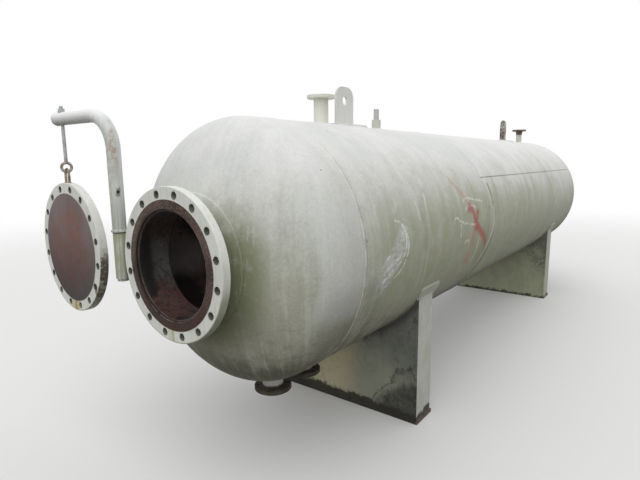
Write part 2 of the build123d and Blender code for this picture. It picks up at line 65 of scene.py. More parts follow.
# Sizes of the manway, its cover and the davit
MANWAY_FACE = -1.285
BOLT_CIRCLE = 0.288925
BOLT_STEP = math.radians(22.5)
COVER_RADIUS = 0.3175
COVER_HALF = 0.01985
COVER_TURN = math.radians(176.7)
ROD = (-1.2828289, 0.7765984)
POST = (-1.259, 0.387)
BRACKET_LOW = AXIS - 0.083
BRACKET_HIGH = AXIS + 0.083
HUB_RADIUS = 0.2535
ARM_TURN = math.radians(93.5)
ARM_REACH = 0.390326
ARM_HEIGHT = 1.689
ARM_RADIUS = 0.0302
ARM_PAST_ROD = 0.039


def placed(name, data):
    """A new object in the scene."""
    made = bpy.data.objects.new(name, data)
    bpy.context.scene.collection.objects.link(made)
    return made


# Camera
def place_camera():
    """A camera at the photograph's viewpoint, level to within a degree."""
    data = bpy.data.cameras.new("yard_camera")
    data.sensor_width = 36.0
    data.lens = 26.66
    data.clip_end = 200.0
    camera = placed("yard_camera", data)
    place = Matrix.Translation((-2.39055, -1.59657, 1.4741))
    heading = Matrix.Rotation(math.radians(37.21 - 90.0), 4, "Z")
    dip = Matrix.Rotation(math.radians(90.0 - 9.33), 4, "X")
    camera.matrix_world = place @ heading @ dip @ Matrix.Rotation(math.radians(-0.56), 4, "Z")
    bpy.context.scene.camera = camera


# Wiring of procedural finishes
def arithmetic(operation, turned=False):
    """A sign between two fields or a field and a number."""
    def sign(self, other):
        first, second = (other, self) if turned else (self, other)
        return self.finish.maths(operation, first, second)
    return sign


class Field:
    """A number that varies over the surface, combined with plain arithmetic."""
    __add__ = __radd__ = arithmetic("ADD")
    __mul__ = __rmul__ = arithmetic("MULTIPLY")
    __sub__ = arithmetic("SUBTRACT")
    __rsub__ = arithmetic("SUBTRACT", True)
    __rtruediv__ = arithmetic("DIVIDE", True)
    __pow__ = arithmetic("POWER")

    def __init__(self, finish, socket):
        self.finish = finish
        self.socket = socket

    @property
    def off(self):
        """How far the field lies from 0.5, the middle of a noise."""
        return self - 0.5

    def ramp(self, start, end):
        """0 at start, 1 at end, with soft ends; start may be the larger."""
        up = start <= end
        made = self.finish.node("ShaderNodeMapRange", {
            "Value": self, "From Min": min(start, end), "From Max": max(start, end),
            "To Min": float(not up), "To Max": float(up)}, interpolation_type="SMOOTHSTEP")
        return Field(self.finish, made.outputs["Result"])

    def band(self, low, high, soft):
        """1 between low and high, falling to 0 over the soft distance outside them."""
        return self.ramp(low - soft, low) * self.ramp(high + soft, high)


class Finish:
    """A material or a sky under construction, read in metres on the object's own coordinates."""

    def __init__(self, name, sky=False):
        self.owner = (bpy.data.worlds if sky else bpy.data.materials).new(name)
        self.owner.use_nodes = True
        self.tree = self.owner.node_tree
        self.tree.nodes.clear()
        output = self.node("ShaderNodeOutputWorld" if sky else "ShaderNodeOutputMaterial")
        self.surface = output.inputs["Surface"]
        self.point = self.node("ShaderNodeTexCoord").outputs["Generated" if sky else "Object"]
        parts = self.node("ShaderNodeSeparateXYZ", {0: self.point})
        self.x, self.y, self.z = [Field(self, part) for part in parts.outputs]
        self.arc = None
        self.colour = None
        self.normal = None

    def node(self, kind, inputs=None, **settings):
        """A node with its settings, its inputs fed with fields, sockets or plain values."""
        made = self.tree.nodes.new(kind)
        for key, value in settings.items():
            setattr(made, key, value)
        for key, value in (inputs or {}).items():
            self.feed(made.inputs[key], value)
        return made

    def feed(self, socket, value):
        if isinstance(value, Field):
            value = value.socket
        if isinstance(value, bpy.types.NodeSocket):
            self.tree.links.new(value, socket)
        elif isinstance(value, tuple) and len(value) == 3 and socket.type == "RGBA":
            socket.default_value = (*value, 1.0)
        else:
            socket.default_value = value

    def maths(self, operation, first, second=0.0):
        made = self.node("ShaderNodeMath", {0: first, 1: second}, operation=operation)
        return Field(self, made.outputs[0])

    def larger(self, first, second):
        return self.maths("MAXIMUM", first, second)

    def size(self, value):
        return self.maths("ABSOLUTE", value)

    def root(self, value):
        return self.maths("SQRT", value)

    def noise(self, scale, shift=0.0, detail=4.0, rough=0.55, where=None):
        """Cloudy variation of about 0.25 to 0.75, with scale blotches in a metre, or a scale for each axis."""
        place = self.node("ShaderNodeMapping", {
            "Vector": where or self.point, "Location": (shift, shift * 0.37, shift * 0.71),
            "Scale": scale if isinstance(scale, tuple) else (scale, scale, scale)})
        made = self.node("ShaderNodeTexNoise", {
            "Vector": place.outputs[0], "Scale": 1.0, "Detail": detail, "Roughness": rough})
        return Field(self, made.outputs["Fac"])

    def noises(self, *kinds):
        """Noises of several kinds, each given as its scale, shift, detail and roughness."""
        return [self.noise(*kind) for kind in kinds]

    def spots(self, scale, share, size, shift=0.0):
        """Scattered small dots: about that share of the cells of a grid holds one of up to that size."""
        place = self.node("ShaderNodeMapping", {
            "Vector": self.point, "Location": (shift, shift * 0.5, -shift), "Scale": (scale, scale, scale)})
        made = self.node("ShaderNodeTexVoronoi", {"Vector": place.outputs[0], "Scale": 1.0})
        pick = self.node("ShaderNodeSeparateColor", {0: made.outputs["Color"]})
        chosen = Field(self, pick.outputs[0]).ramp(share, share * 0.8)
        return chosen * Field(self, made.outputs["Distance"]).ramp(size, size * 0.5)

    def blend(self, share, under, over):
        made = self.node("ShaderNodeMix", {0: share, 6: under, 7: over}, data_type="RGBA", clamp_factor=True)
        return made.outputs[2]

    def lay(self, share, tint):
        """Lays a tint over the colour so far."""
        self.colour = self.blend(share, self.colour, tint)

    def shade(self, colour, amount):
        """The colour made lighter or darker by a field around 1."""
        return self.node("ShaderNodeVectorMath", {0: colour, "Scale": amount}, operation="SCALE").outputs[0]

    def tone(self, amount):
        """Makes the colour so far lighter or darker."""
        self.colour = self.shade(self.colour, amount)

    def line(self, first, second, points, width, soft=1.0):
        """A smooth line through points of two fields, drawn along the field in which it runs further."""
        spans = [max(part) - min(part) for part in zip(*points)]
        lead = 0 if spans[0] >= spans[1] else 1
        along, across = (first, second) if lead == 0 else (second, first)
        route = sorted((point[lead], point[1 - lead]) for point in points)
        begin, finish = route[0][0], route[-1][0]
        low = min(part[1] for part in route)
        reach = max(spans[1 - lead], 0.0001)
        share = self.node("ShaderNodeMapRange", {"Value": along, "From Min": begin, "From Max": finish})
        shape = self.node("ShaderNodeFloatCurve", {"Value": share.outputs["Result"]})
        bends = shape.mapping.curves[0].points
        for _ in route[2:]:
            bends.new(0.5, 0.5)
        for bend, (where, side) in zip(bends, route):
            bend.location = ((where - begin) / (finish - begin), (side - low) / reach)
        shape.mapping.update()
        middle = Field(self, shape.outputs["Value"]) * reach + low
        lean = math.hypot(1.0, reach / (finish - begin))
        near = self.size(across - middle).ramp(lean * width * 0.5 * (1.0 + soft), lean * width * 0.25)
        return near * along.band(begin, finish, width)

    def mark(self, width, *routes, soft=1.0):
        """Lines on the unrolled shell; places are x in metres and degrees from the top line."""
        strongest = None
        for route in routes:
            drawn = self.line(self.x, self.arc, unrolled(*route), width, soft)
            strongest = self.larger(strongest, drawn) if strongest else drawn
        return strongest

    def dot(self, first, second, place, width):
        """A soft round dot at a place of two fields."""
        off = (first - place[0]) ** 2.0 + (second - place[1]) ** 2.0
        return off.ramp((width * 0.62) ** 2.0, (width * 0.3) ** 2.0)

    def rounded(self, radius):
        """Eases the edges to that radius."""
        self.normal = self.node("ShaderNodeBevel", {"Radius": radius}, samples=4).outputs[0]

    def bump(self, height, depth):
        """Adds relief of that depth in metres where the height field goes from 0 to 1."""
        made = self.node("ShaderNodeBump", {"Strength": 1.0, "Distance": depth, "Height": height})
        if self.normal:
            self.feed(made.inputs["Normal"], self.normal)
        self.normal = made.outputs[0]

    def close(self, roughness, specular, metal=0.0):
        """Puts colour, relief and gloss together and hands over the material."""
        made = self.node("ShaderNodeBsdfPrincipled", {
            "Base Color": self.colour, "Roughness": roughness, "Metallic": metal,
            "Specular IOR Level": specular, "Normal": self.normal})
        self.feed(self.surface, made.outputs[0])
        return self.owner

    def seen(self):
        """1 for what the camera sees, straight or through a mirror or glass."""
        rays = self.node("ShaderNodeLightPath").outputs
        mirrored = self.larger(Field(self, rays["Is Glossy Ray"]), Field(self, rays["Is Transmission Ray"]))
        return self.larger(Field(self, rays["Is Camera Ray"]), mirrored)

    def fade(self, share, first, second):
        """Shows the first shader, giving way to the second."""
        made = self.node("ShaderNodeMixShader", {0: share, 1: first.outputs[0], 2: second.outputs[0]})
        self.feed(self.surface, made.outputs[0])


def unrolled(*places):
    """Places given as x in metres and degrees from the top line, on the unrolled shell."""
    return [(x, math.radians(turn) * RADIUS) for x, turn in places]


# Rust and scale on bare steel
def rust_colour(f):
    """Red-brown scale with redder and darker patches, and pale specks."""
    cloud, patch, grain, fleck = f.noises((9, 0, 6, 0.62), (3.1, 4, 3), (150, 2, 2), (120, 7, 5, 0.75))
    base = f.blend(cloud.ramp(0.38, 0.62), (0.054, 0.034, 0.026), (0.13, 0.09, 0.074))
    base = f.blend(patch.ramp(0.5, 0.66) * 0.5, base, (0.155, 0.066, 0.046))
    base = f.blend(patch.ramp(0.44, 0.32) * 0.6, base, (0.052, 0.045, 0.042))
    base = f.blend(fleck.ramp(0.54, 0.62) * 0.62, base, (0.3, 0.235, 0.205))
    base = f.blend(fleck.ramp(0.46, 0.38) * 0.55, base, (0.045, 0.03, 0.024))
    return f.shade(base, 0.66 + 0.68 * grain)


def scale_colour(f, light=1):
    """Dusty grey scale on the wall inside, darker in patches and red toward the bottom, multiplied by light, a
    painted light level.
    """
    cloud, patch = f.noises((6, 11, 6, 0.65), (15, 14, 5, 0.65))
    base = f.blend(cloud.ramp(0.42, 0.6), (0.36, 0.32, 0.305), (0.74, 0.7, 0.67))
    low = (f.z + cloud.off * 0.4).ramp(AXIS - 0.06, AXIS - 0.2)
    red = f.blend(patch.ramp(0.44, 0.58), (0.25, 0.185, 0.165), (0.58, 0.33, 0.28))
    base = f.blend(low * 0.8, base, red)
    base = f.blend(patch.ramp(0.46, 0.36) * 0.6, base, (0.14, 0.115, 0.105))
    return f.shade(base, light)


# Weathered paint of the shell, heads and pads
def shell_marks(f, mottle):
    """What years of handling left on the front course: strap marks, scuffs, chalk and red spray."""
    broken = f.noise(60, shift=9).ramp(0.36, 0.6)

    # Where a lifting strap lay, with dirt caught beside it
    caught = f.mark(0.045, [(-0.205, -70), (-0.22, -80), (-0.212, -91)])
    f.lay(caught * mottle.ramp(0.34, 0.6) * 0.55, (0.3, 0.31, 0.2))
    strap = f.mark(0.011, [(-0.141, -52), (-0.14, -59.8), (-0.161, -68.5), (-0.172, -75.6), (-0.166, -82),
                           (-0.171, -89.7), (-0.184, -99.7), (-0.17, -109)])
    strap = strap * mottle.ramp(0.36, 0.56) * (0.4 + 0.6 * f.arc.ramp(-0.86, -0.76))
    ticks = f.mark(0.01, [(-0.275, -69.5), (-0.262, -78.3)], [(-0.319, -54.6), (-0.303, -59.6)])
    f.lay(f.larger(strap, ticks * 0.7) * 0.78, (0.76, 0.77, 0.74))

    # Washed patch with a fan of scuffs over it
    patch = f.mark(0.105, [(-0.445, -84), (-0.49, -88.5), (-0.55, -94), (-0.6, -98.5)], soft=0.5)
    patch = patch * f.noise((22, 22, 60), 9.5, rough=0.65).ramp(0.34, 0.54)
    f.lay(patch * 0.78, (0.65, 0.665, 0.655))
    scuffs = f.mark(
        0.0085,
        [(-0.515, -76.3), (-0.476, -77.4), (-0.449, -79)],
        [(-0.452, -78.6), (-0.415, -83.8), (-0.403, -89.5), (-0.425, -94), (-0.47, -98.6), (-0.53, -101.6),
         (-0.592, -103.6)],
        [(-0.46, -78.5), (-0.429, -82.7), (-0.424, -87.3), (-0.442, -91.7), (-0.491, -95.5),
         (-0.571, -98.7)],
        [(-0.463, -82.3), (-0.45, -86), (-0.464, -90.4), (-0.516, -93.3), (-0.589, -95.7), (-0.623, -97)],
        [(-0.586, -90.8), (-0.632, -93.1), (-0.646, -95.4)],
        [(-0.546, -97.3), (-0.591, -99.4), (-0.625, -101.3)])
    f.lay(scuffs * broken * 0.95, (0.86, 0.865, 0.85))

    # Chalk arcs
    chalk = f.mark(
        0.011,
        [(0.333, -73.7), (0.4, -72.6), (0.484, -73.6), (0.651, -75.9)],
        [(0.34, -79.5), (0.43, -77.2), (0.51, -78.4)],
        [(0.165, -84.3), (0.195, -82), (0.241, -84), (0.399, -87.3), (0.504, -88.3)],
        [(0.262, -84.6), (0.258, -92.5)],
        [(0.34, -97.4), (0.372, -96.4), (0.409, -97.7)],
        [(0.592, -98), (0.583, -105), (0.558, -112)])
    f.lay(chalk * broken * 0.9, (0.8, 0.8, 0.76))

    # Red spray
    ragged = f.noise(38, shift=15, detail=3).ramp(0.22, 0.46)
    faint = f.mark(0.03, [(0.245, -61), (0.28, -64.5), (0.335, -68.8), (0.385, -73.6)])
    leg = f.mark(0.05, [(0.505, -89), (0.474, -95.6), (0.455, -102), (0.446, -109.5)], soft=1.3)
    thin = f.larger(faint * 0.62, leg * (0.6 + 0.4 * f.arc.ramp(-1.05, -1.15))) * mottle.ramp(0.2, 0.5)
    f.lay(thin * 0.58, (0.51, 0.205, 0.185))
    spray = f.mark(
        0.03,
        [(0.42, -76.6), (0.475, -81.8), (0.5, -86.5), (0.515, -91)],
        [(0.512, -88.5), (0.609, -94), (0.705, -99.6), (0.752, -105.2), (0.757, -110.5)],
        [(0.398, -79), (0.445, -79.5)],
        [(0.545, -81.5), (0.505, -87)], soft=1.3)
    f.lay(spray * ragged * 0.76, (0.43, 0.09, 0.078))


def flank_strips(f, around, mottle):
    """Dirt and bare strips on both sides of the middle seam."""
    low = around.ramp(-1.4, -1.85) * around.ramp(-2.6, -2.3)
    f.lay(f.x.band(0.66, 0.8, 0.05) * low * 0.35, (0.22, 0.24, 0.16))
    dirt = f.mark(0.026, [(0.845, -66), (0.862, -80), (0.88, -92), (0.862, -101), (0.826, -113),
                          (0.788, -127)])
    f.lay(dirt * mottle.ramp(0.32, 0.54) * 0.75, (0.2, 0.22, 0.14))
    bare = f.mark(0.015, [(0.862, -81), (0.868, -89.5), (0.842, -96.5), (0.792, -104.5), (0.742, -114.5),
                          (0.722, -126)])
    f.lay(bare * mottle.ramp(0.28, 0.48) * 0.7, (0.72, 0.725, 0.68))


def vessel_finish(name, flank_tint, head=False, marked=False, dots=()):
    """Weathered pale paint; run-off streaks fan out on a head and hang straight on the courses."""
    f = Finish(name)
    x, y = f.x, f.y
    rise = f.z - AXIS
    out = f.root(y * y + rise * rise)
    height = rise * (1 / RADIUS)
    around = f.maths("ARCTAN2", y, rise)
    arc = around * RADIUS
    f.arc = arc
    if head:
        depth = f.larger(f.larger(FRONT_TANGENT - x, x - REAR_TANGENT), 0.0005)
        on_head = depth.ramp(0.015, 0.11)
        spread = {0: y * ((HEAD_DEPTH / depth) ** 0.25), 1: x * 0.2, 2: f.z}
        head_place = f.node("ShaderNodeCombineXYZ", spread).outputs[0]

    def streaks(across, along, shift, detail=3):
        """Run-off marks that follow the way water takes."""
        shell = f.noise((across, along, along), shift, detail)
        if not head:
            return shell
        over = f.noise((across, along, along), shift + 3.3, detail, where=head_place)
        return shell * (1 - on_head) + over * on_head

    broad = streaks(9, 0.55, 1)
    fine = streaks(42, 1.1, 7)
    hair = streaks(130, 2.4, 12)
    cloud, mottle, speck, grain = f.noises(
        (1.7, 3, 5, 0.6), (13, 5, 5, 0.65), (75, 6, 4, 0.7), (190, 1, 2))
    f.colour = f.blend(height.ramp(0.85, 0.1), (0.765, 0.77, 0.755), flank_tint)
    f.lay(cloud.ramp(0.46, 0.62) * 0.5, (0.635, 0.655, 0.645))

    # Grime and painted shade that thicken toward the belly
    low = height + broad.off * 0.45 + cloud.off * 1.1 + mottle.off * 0.5 + speck.off * 0.25
    grime_and_shade = low.ramp(0.78, -0.25)
    if head:
        washed = (x + cloud.off * 0.15).band(-0.995, -0.8, 0.035) * height.band(-0.24, 0.3, 0.2)
        grime_and_shade = grime_and_shade * (1 - washed * 0.75)
    f.lay(grime_and_shade * 0.84, (0.425, 0.43, 0.33))
    # Darker still low down and on the belly: dirt and painted shade
    f.lay(low.ramp(-0.3, -1) * 0.9, (0.225, 0.22, 0.15))
    f.lay((height + mottle.off * 0.2).ramp(-0.56, -0.84) * 0.86, (0.085, 0.08, 0.052))
    # Painted shade: a fifth darker low on the shell near the front head
    tucked_shade = x.band(-0.93, -0.62, 0.11) * height.band(-0.78, -0.24, 0.16)
    f.tone(1 - tucked_shade * 0.2)
    runs = (fine * 0.65 + mottle * 0.35).ramp(0.5, 0.64) * height.ramp(0.75, 0.2)
    f.lay(runs * 0.3, (0.4, 0.41, 0.32))
    rinsed = (streaks(26, 0.9, 21) * 0.7 + mottle * 0.3).ramp(0.51, 0.64) * height.ramp(0.8, 0.3)
    f.lay(rinsed * 0.22, (0.74, 0.755, 0.73))

    # Algae along the flank and round the manway pad; the head darker low on its knuckle, and painted shade
    # under the neck
    if head:
        collar = out.band(0.2, 0.315, 0.13) * on_head * x.ramp(-0.9, -0.96)
        side = (height + mottle.off * 0.6).ramp(0.5, 0.12)
        moss = collar * side * (mottle * 0.5 + fine * 0.2 + speck * 0.3).ramp(0.36, 0.54)
        f.lay(moss * 0.84, (0.195, 0.215, 0.115))
        knuckle = x.ramp(-1.06, -0.9) * (height + cloud.off * 0.4).ramp(-0.28, -0.62)
        f.lay(knuckle * 0.42, (0.15, 0.15, 0.1))
        # Painted shade on the head under the manway neck
        shade_under_neck = height.ramp(-0.1, -0.42) * out.ramp(0.55, 0.25) * x.ramp(-0.9, -0.99)
        f.lay(shade_under_neck * 0.55, (0.16, 0.16, 0.11))
    else:
        edge = height + mottle.off * 0.55 + broad.off * 0.45 + cloud.off * 0.4
        flank = edge.ramp(0.44, 0.16) * edge.ramp(-0.75, -0.2)
        flank = flank * x.ramp(-0.76, -0.5) * x.ramp(3.2, 1.4)
        f.lay(flank * (mottle * 0.6 + speck * 0.4).ramp(0.38, 0.58) * 0.66, (0.305, 0.338, 0.2))
        flank_strips(f, around, mottle)
    if marked:
        shell_marks(f, mottle)

    # Seam toes, with painted highlight and painted shadow beside the beads, and rust dots
    # Painted highlight on the lit toe of the front girth seam
    f.lay(x.band(-0.787, -0.784, 0.003) * mottle.ramp(0.36, 0.5) * 0.6, (0.76, 0.76, 0.72))
    # Painted shadow on its far toe
    f.lay(x.band(-0.776, -0.773, 0.003) * mottle.ramp(0.62, 0.45) * 0.5, (0.26, 0.22, 0.15))
    if not head:
        # Painted shadow beside the middle girth seam, low down, and below the long seams
        seam_toe_shadow = x.band(0.7675, 0.771, 0.003) * around.ramp(-1.75, -1.3) * 1.25
        seam = arc.band(-0.653, -0.65, 0.004) * x.ramp(0.755, 0.765) * x.ramp(3.71, 3.7)
        f.lay(f.larger(seam_toe_shadow, seam) * 0.7, (0.17, 0.16, 0.13))
    rust = f.larger(f.spots(16, 0.3, 0.12, 4) * x.band(-0.79, -0.77, 0.008), f.spots(11, 0.05, 0.055, 6))
    for dot_x, turn, width in dots:
        rust = f.larger(rust, f.dot(x, arc, unrolled((dot_x, turn))[0], width))
    f.lay(rust * 0.8, (0.115, 0.072, 0.048))
    if marked:
        f.lay(f.mark(0.006, [(-0.586, -26), (-0.574, -31.2)]) * 0.5, (0.4, 0.29, 0.19))
    grit = speck.off * 0.24 + mottle.off * 0.15 + fine.off * 0.12 + grain.off * 0.14
    f.tone(1 + broad.off * 0.1 + hair.off * 0.08 + grit * (1 + grime_and_shade * 1.1))

    # Bare wall inside
    inside = out.ramp(RADIUS - 0.004, RADIUS - 0.008)
    if head:
        middle = WALL * 0.5
        bowl = (depth * (1 / (HEAD_DEPTH - middle))) ** 2 + (out * (1 / (RADIUS - middle))) ** 2
        inside = bowl.ramp(1.002, 0.998)
    wall = scale_colour(f)
    if head or marked:
        # A pale patch of dust and painted light where light through the manway falls on the wall inside
        uneven, place, width = (0.15, (-0.88, 99), 0.27) if head else (0.12, (-0.77, 99), 0.26)
        drift = arc + cloud.off * 0.2
        dust_and_light_pool = f.dot(x + mottle.off * uneven, drift, unrolled(place)[0], width)
        wall = f.blend(dust_and_light_pool * 0.8, wall, (0.86, 0.83, 0.8))
        blot = f.line(x + mottle.off * 0.18, drift, unrolled((-0.8, 114), (-0.81, 121), (-0.812, 132)), 0.15)
        wall = f.blend(blot * 0.9, wall, (0.075, 0.066, 0.062))
    f.lay(inside, wall)
    f.bump(grain, 0.00035)
    f.bump(f.noise(2.6, shift=8, detail=1), 0.006)
    f.bump(mottle, 0.0005)
    return f.close(0.5 + grime_and_shade * 0.22 + mottle.off * 0.25 + inside * 0.1, 0.38)


# Small fittings and bare rusted steel
def fitting_finish(name, clean, dirt, rust):
    """Paint with dirt in it, and rust patches that spread with the rust value."""
    f = Finish(name)
    cloud, runs, mottle, grain = f.noises(
        (7, 2, 5, 0.6), ((60, 60, 4), 5, 3), (45, 1, 4, 0.65), (420, 3, 2))
    f.colour = f.blend((cloud * 0.6 + runs * 0.4).ramp(0.4, 0.62) * 0.5, clean, dirt)
    patches = (mottle * 0.55 + cloud * 0.45).ramp(0.655 - rust * 0.22, 0.7 - rust * 0.2)
    rusty = f.blend(mottle.ramp(0.4, 0.65), (0.155, 0.075, 0.04), (0.085, 0.048, 0.034))
    f.lay(patches * min(1, 0.35 + rust), rusty)
    f.tone(0.9 + 0.2 * grain)
    f.rounded(0.0012)
    f.bump(mottle, 0.0004)
    f.bump(grain, 0.00012)
    return f.close(0.52 + patches * 0.3 + mottle.off * 0.2, 0.35)


def rusty_finish(name, dark, light, paint=None):
    """Rust with pits; paint gives the two heights between which old paint of a tint comes in."""
    f = Finish(name)
    cloud, pits, grain = f.noises((22, 2, 6, 0.65), (140, 4, 4, 0.7), (500, 1, 2))
    f.colour = f.blend(cloud.ramp(0.38, 0.62), dark, light)
    f.lay(pits.ramp(0.56, 0.68) * 0.6, (0.05, 0.035, 0.028))
    if paint:
        low, high, tint = paint
        f.lay((f.z + cloud.off * 0.02).ramp(low, high), tint)
    f.tone(0.84 + 0.32 * grain)
    f.rounded(0.0012)
    f.bump(pits, 0.0006)
    return f.close(0.8, 0.3)


def zinc_finish():
    """Dull galvanised rod whose eye has rusted."""
    f = Finish("dull_zinc_rod")
    cloud, grain = f.noises((40, 2, 5), (420, 4, 2))
    f.colour = f.blend(cloud.ramp(0.4, 0.64), (0.52, 0.53, 0.545), (0.4, 0.405, 0.405))
    rust = f.blend(cloud.ramp(0.42, 0.6), (0.52, 0.455, 0.4), (0.3, 0.22, 0.175))
    low = (f.z + cloud.off * 0.05).ramp(1.512, 1.486)
    patch = f.larger(low, cloud.ramp(0.6, 0.68) * 0.6)
    f.lay(patch, rust)
    f.tone(0.88 + 0.24 * grain)
    f.bump(grain, 0.00015)
    f.bump(cloud * patch, 0.0008)
    return f.close(0.48 + patch * 0.35, 0.4, 0.25 * (1 - patch))


# Flange faces: paint outside, bare rust inside the raised face
def flange_finish(f, along, across, rise, out, drips, edge_rust, face_scale_and_shade, lip_highlight_share):
    """The along field is 0 on the gasket face and grows into the flange; across and rise lie in the face."""
    cloud, runs, mottle, grain = f.noises((8, 2, 5), ((75, 75, 3.5), 6, 3), (60, 3, 4, 0.65), (380, 1, 2))
    height = rise * (1 / COVER_RADIUS)
    f.colour = f.blend(cloud.ramp(0.4, 0.64) * 0.6, (0.8, 0.81, 0.765), (0.7, 0.72, 0.66))
    f.lay(runs.ramp(0.5, 0.68) * 0.35, (0.55, 0.57, 0.47))
    rim = out.ramp(0.311, 0.3155)
    # Algae and painted shade on the rim toward the bottom
    f.lay(rim * (height + cloud.off * 0.8).ramp(0.05, -0.65) * 0.78, (0.25, 0.26, 0.15))

    # Bolt holes, dark inside with a dirty ring
    turn = f.maths("ARCTAN2", across, rise) + math.tau
    fold = f.maths("MODULO", turn, BOLT_STEP) - BOLT_STEP * 0.5
    hole = f.root((out * f.maths("COSINE", fold) - BOLT_CIRCLE) ** 2 + (out * f.maths("SINE", fold)) ** 2)
    f.lay(hole.ramp(0.0225, 0.0165) * mottle.ramp(0.4, 0.62) * 0.6, (0.36, 0.37, 0.26))
    f.lay(hole.ramp(0.01605, 0.01575), (0.05, 0.052, 0.034))
    for start, end, width, tint, strength in drips:
        f.lay(f.line(across, rise, [start, end], width) * along.ramp(0.045, 0) * strength, tint)
    f.lay(edge_rust(rim, height, mottle, cloud), (0.095, 0.062, 0.036))

    # Raised face and bore
    bare = out.ramp(0.2675, 0.266) * along.ramp(0.03, 0.02)
    bare = f.larger(bare, out.ramp(0.2295, 0.2285))
    # Painted highlight along the lip of the bore, on its lower near side
    lip_highlight = f.size(out - 0.229).ramp(0.0022, 0.0006) * along.ramp(0.004, 0.001)
    lip_highlight = lip_highlight * mottle.ramp(0.38, 0.55) * (across + rise).ramp(0.05, -0.12) * lip_highlight_share
    f.lay(bare, f.blend(lip_highlight * 0.6, face_scale_and_shade(height), (0.34, 0.31, 0.28)))
    f.tone(0.92 + 0.16 * grain)
    f.rounded(0.0012)
    f.bump(f.maths("SINE", out * (math.tau / 0.0016)) * bare * 0.5, 0.00015)
    f.bump(mottle, 0.0005)
    return f.close(0.5 + bare * 0.32 + mottle.off * 0.2, 0.35)


def manway_flange_finish():
    f = Finish("manway_flange_paint")
    rise = f.z - AXIS
    out = f.root(f.y * f.y + rise * rise)

    def edge_rust(rim, height, mottle, cloud):
        return rim * height.ramp(-0.45, -0.95) * mottle.ramp(0.45, 0.62) * 0.5

    def face_scale_and_shade(height):
        made = f.blend(height.ramp(-0.15, -0.65) * 0.55, rust_colour(f), (0.135, 0.066, 0.048))
        inner = out.ramp(0.243, 0.235) * f.y.ramp(0.02, 0.14)
        # Painted shade: the face darker toward the bottom; it is also darker near the bore on the +y side
        return f.shade(made, (0.42 + 0.54 * height.ramp(-0.8, 0.5)) * (1 - 0.6 * inner))

    drips = (
        ((0.004, -0.27), (0.001, -COVER_RADIUS), 0.01, (0.4, 0.36, 0.17), 0.8),
        ((0.017, -0.268), (0.014, -COVER_RADIUS), 0.03, (0.55, 0.54, 0.33), 0.5),
    )
    return flange_finish(f, f.x - MANWAY_FACE, f.y, rise, out, drips, edge_rust, face_scale_and_shade, 1)


def cover_finish():
    f = Finish("manway_cover_paint")
    rise = f.z - AXIS
    off_x = f.x - ROD[0]
    off_y = f.y - ROD[1]
    normal = off_x * math.cos(COVER_TURN) + off_y * math.sin(COVER_TURN)
    across = off_y * math.cos(COVER_TURN) - off_x * math.sin(COVER_TURN)
    out = f.root(across * across + rise * rise)

    def edge_rust(rim, height, mottle, cloud):
        right = (across * (1 / COVER_RADIUS)).ramp(0.1, 0.55)
        low = (height + cloud.off * 0.5).band(-0.62, -0.12, 0.25)
        edge = rim * low * right * (mottle * 0.5 + cloud * 0.5).ramp(0.42, 0.52)
        hole = f.dot(across + mottle.off * 0.03, rise, (0.24, -0.166), 0.046)
        return f.larger(edge * 0.9, hole * mottle.ramp(0.36, 0.52) * 0.85)

    def face_scale_and_shade(height):
        """Smooth mauve-grey scale, rubbed red in the middle."""
        cloud, fleck, grain = f.noises((5, 5), (42, 3, 6, 0.75), (170, 2, 3))
        middle = (out + cloud.off * 0.25).ramp(0.25, 0.11)
        base = f.blend(cloud.ramp(0.36, 0.64), (0.16, 0.122, 0.116), (0.19, 0.152, 0.15))
        base = f.blend(middle * fleck.ramp(0.4, 0.56) * 0.75, base, (0.225, 0.098, 0.074))
        base = f.blend(fleck.ramp(0.4, 0.32) * 0.45, base, (0.08, 0.058, 0.052))
        shadow = 0.34 + 0.92 * (height + cloud.off * 0.3).ramp(-0.98, 0.7)
        return f.shade(base, shadow * (0.86 + 0.28 * grain))

    drips = (
        ((-0.002, -0.262), (-0.004, -COVER_RADIUS), 0.075, (0.58, 0.5, 0.26), 0.75),
        ((0.01, -0.268), (0.008, -COVER_RADIUS), 0.026, (0.42, 0.27, 0.1), 0.85),
        ((0.242, -0.172), (0.246, -0.222), 0.013, (0.2, 0.1, 0.05), 0.85),
    )
    return flange_finish(f, COVER_HALF - normal, across, rise, out, drips, edge_rust, face_scale_and_shade, 0)


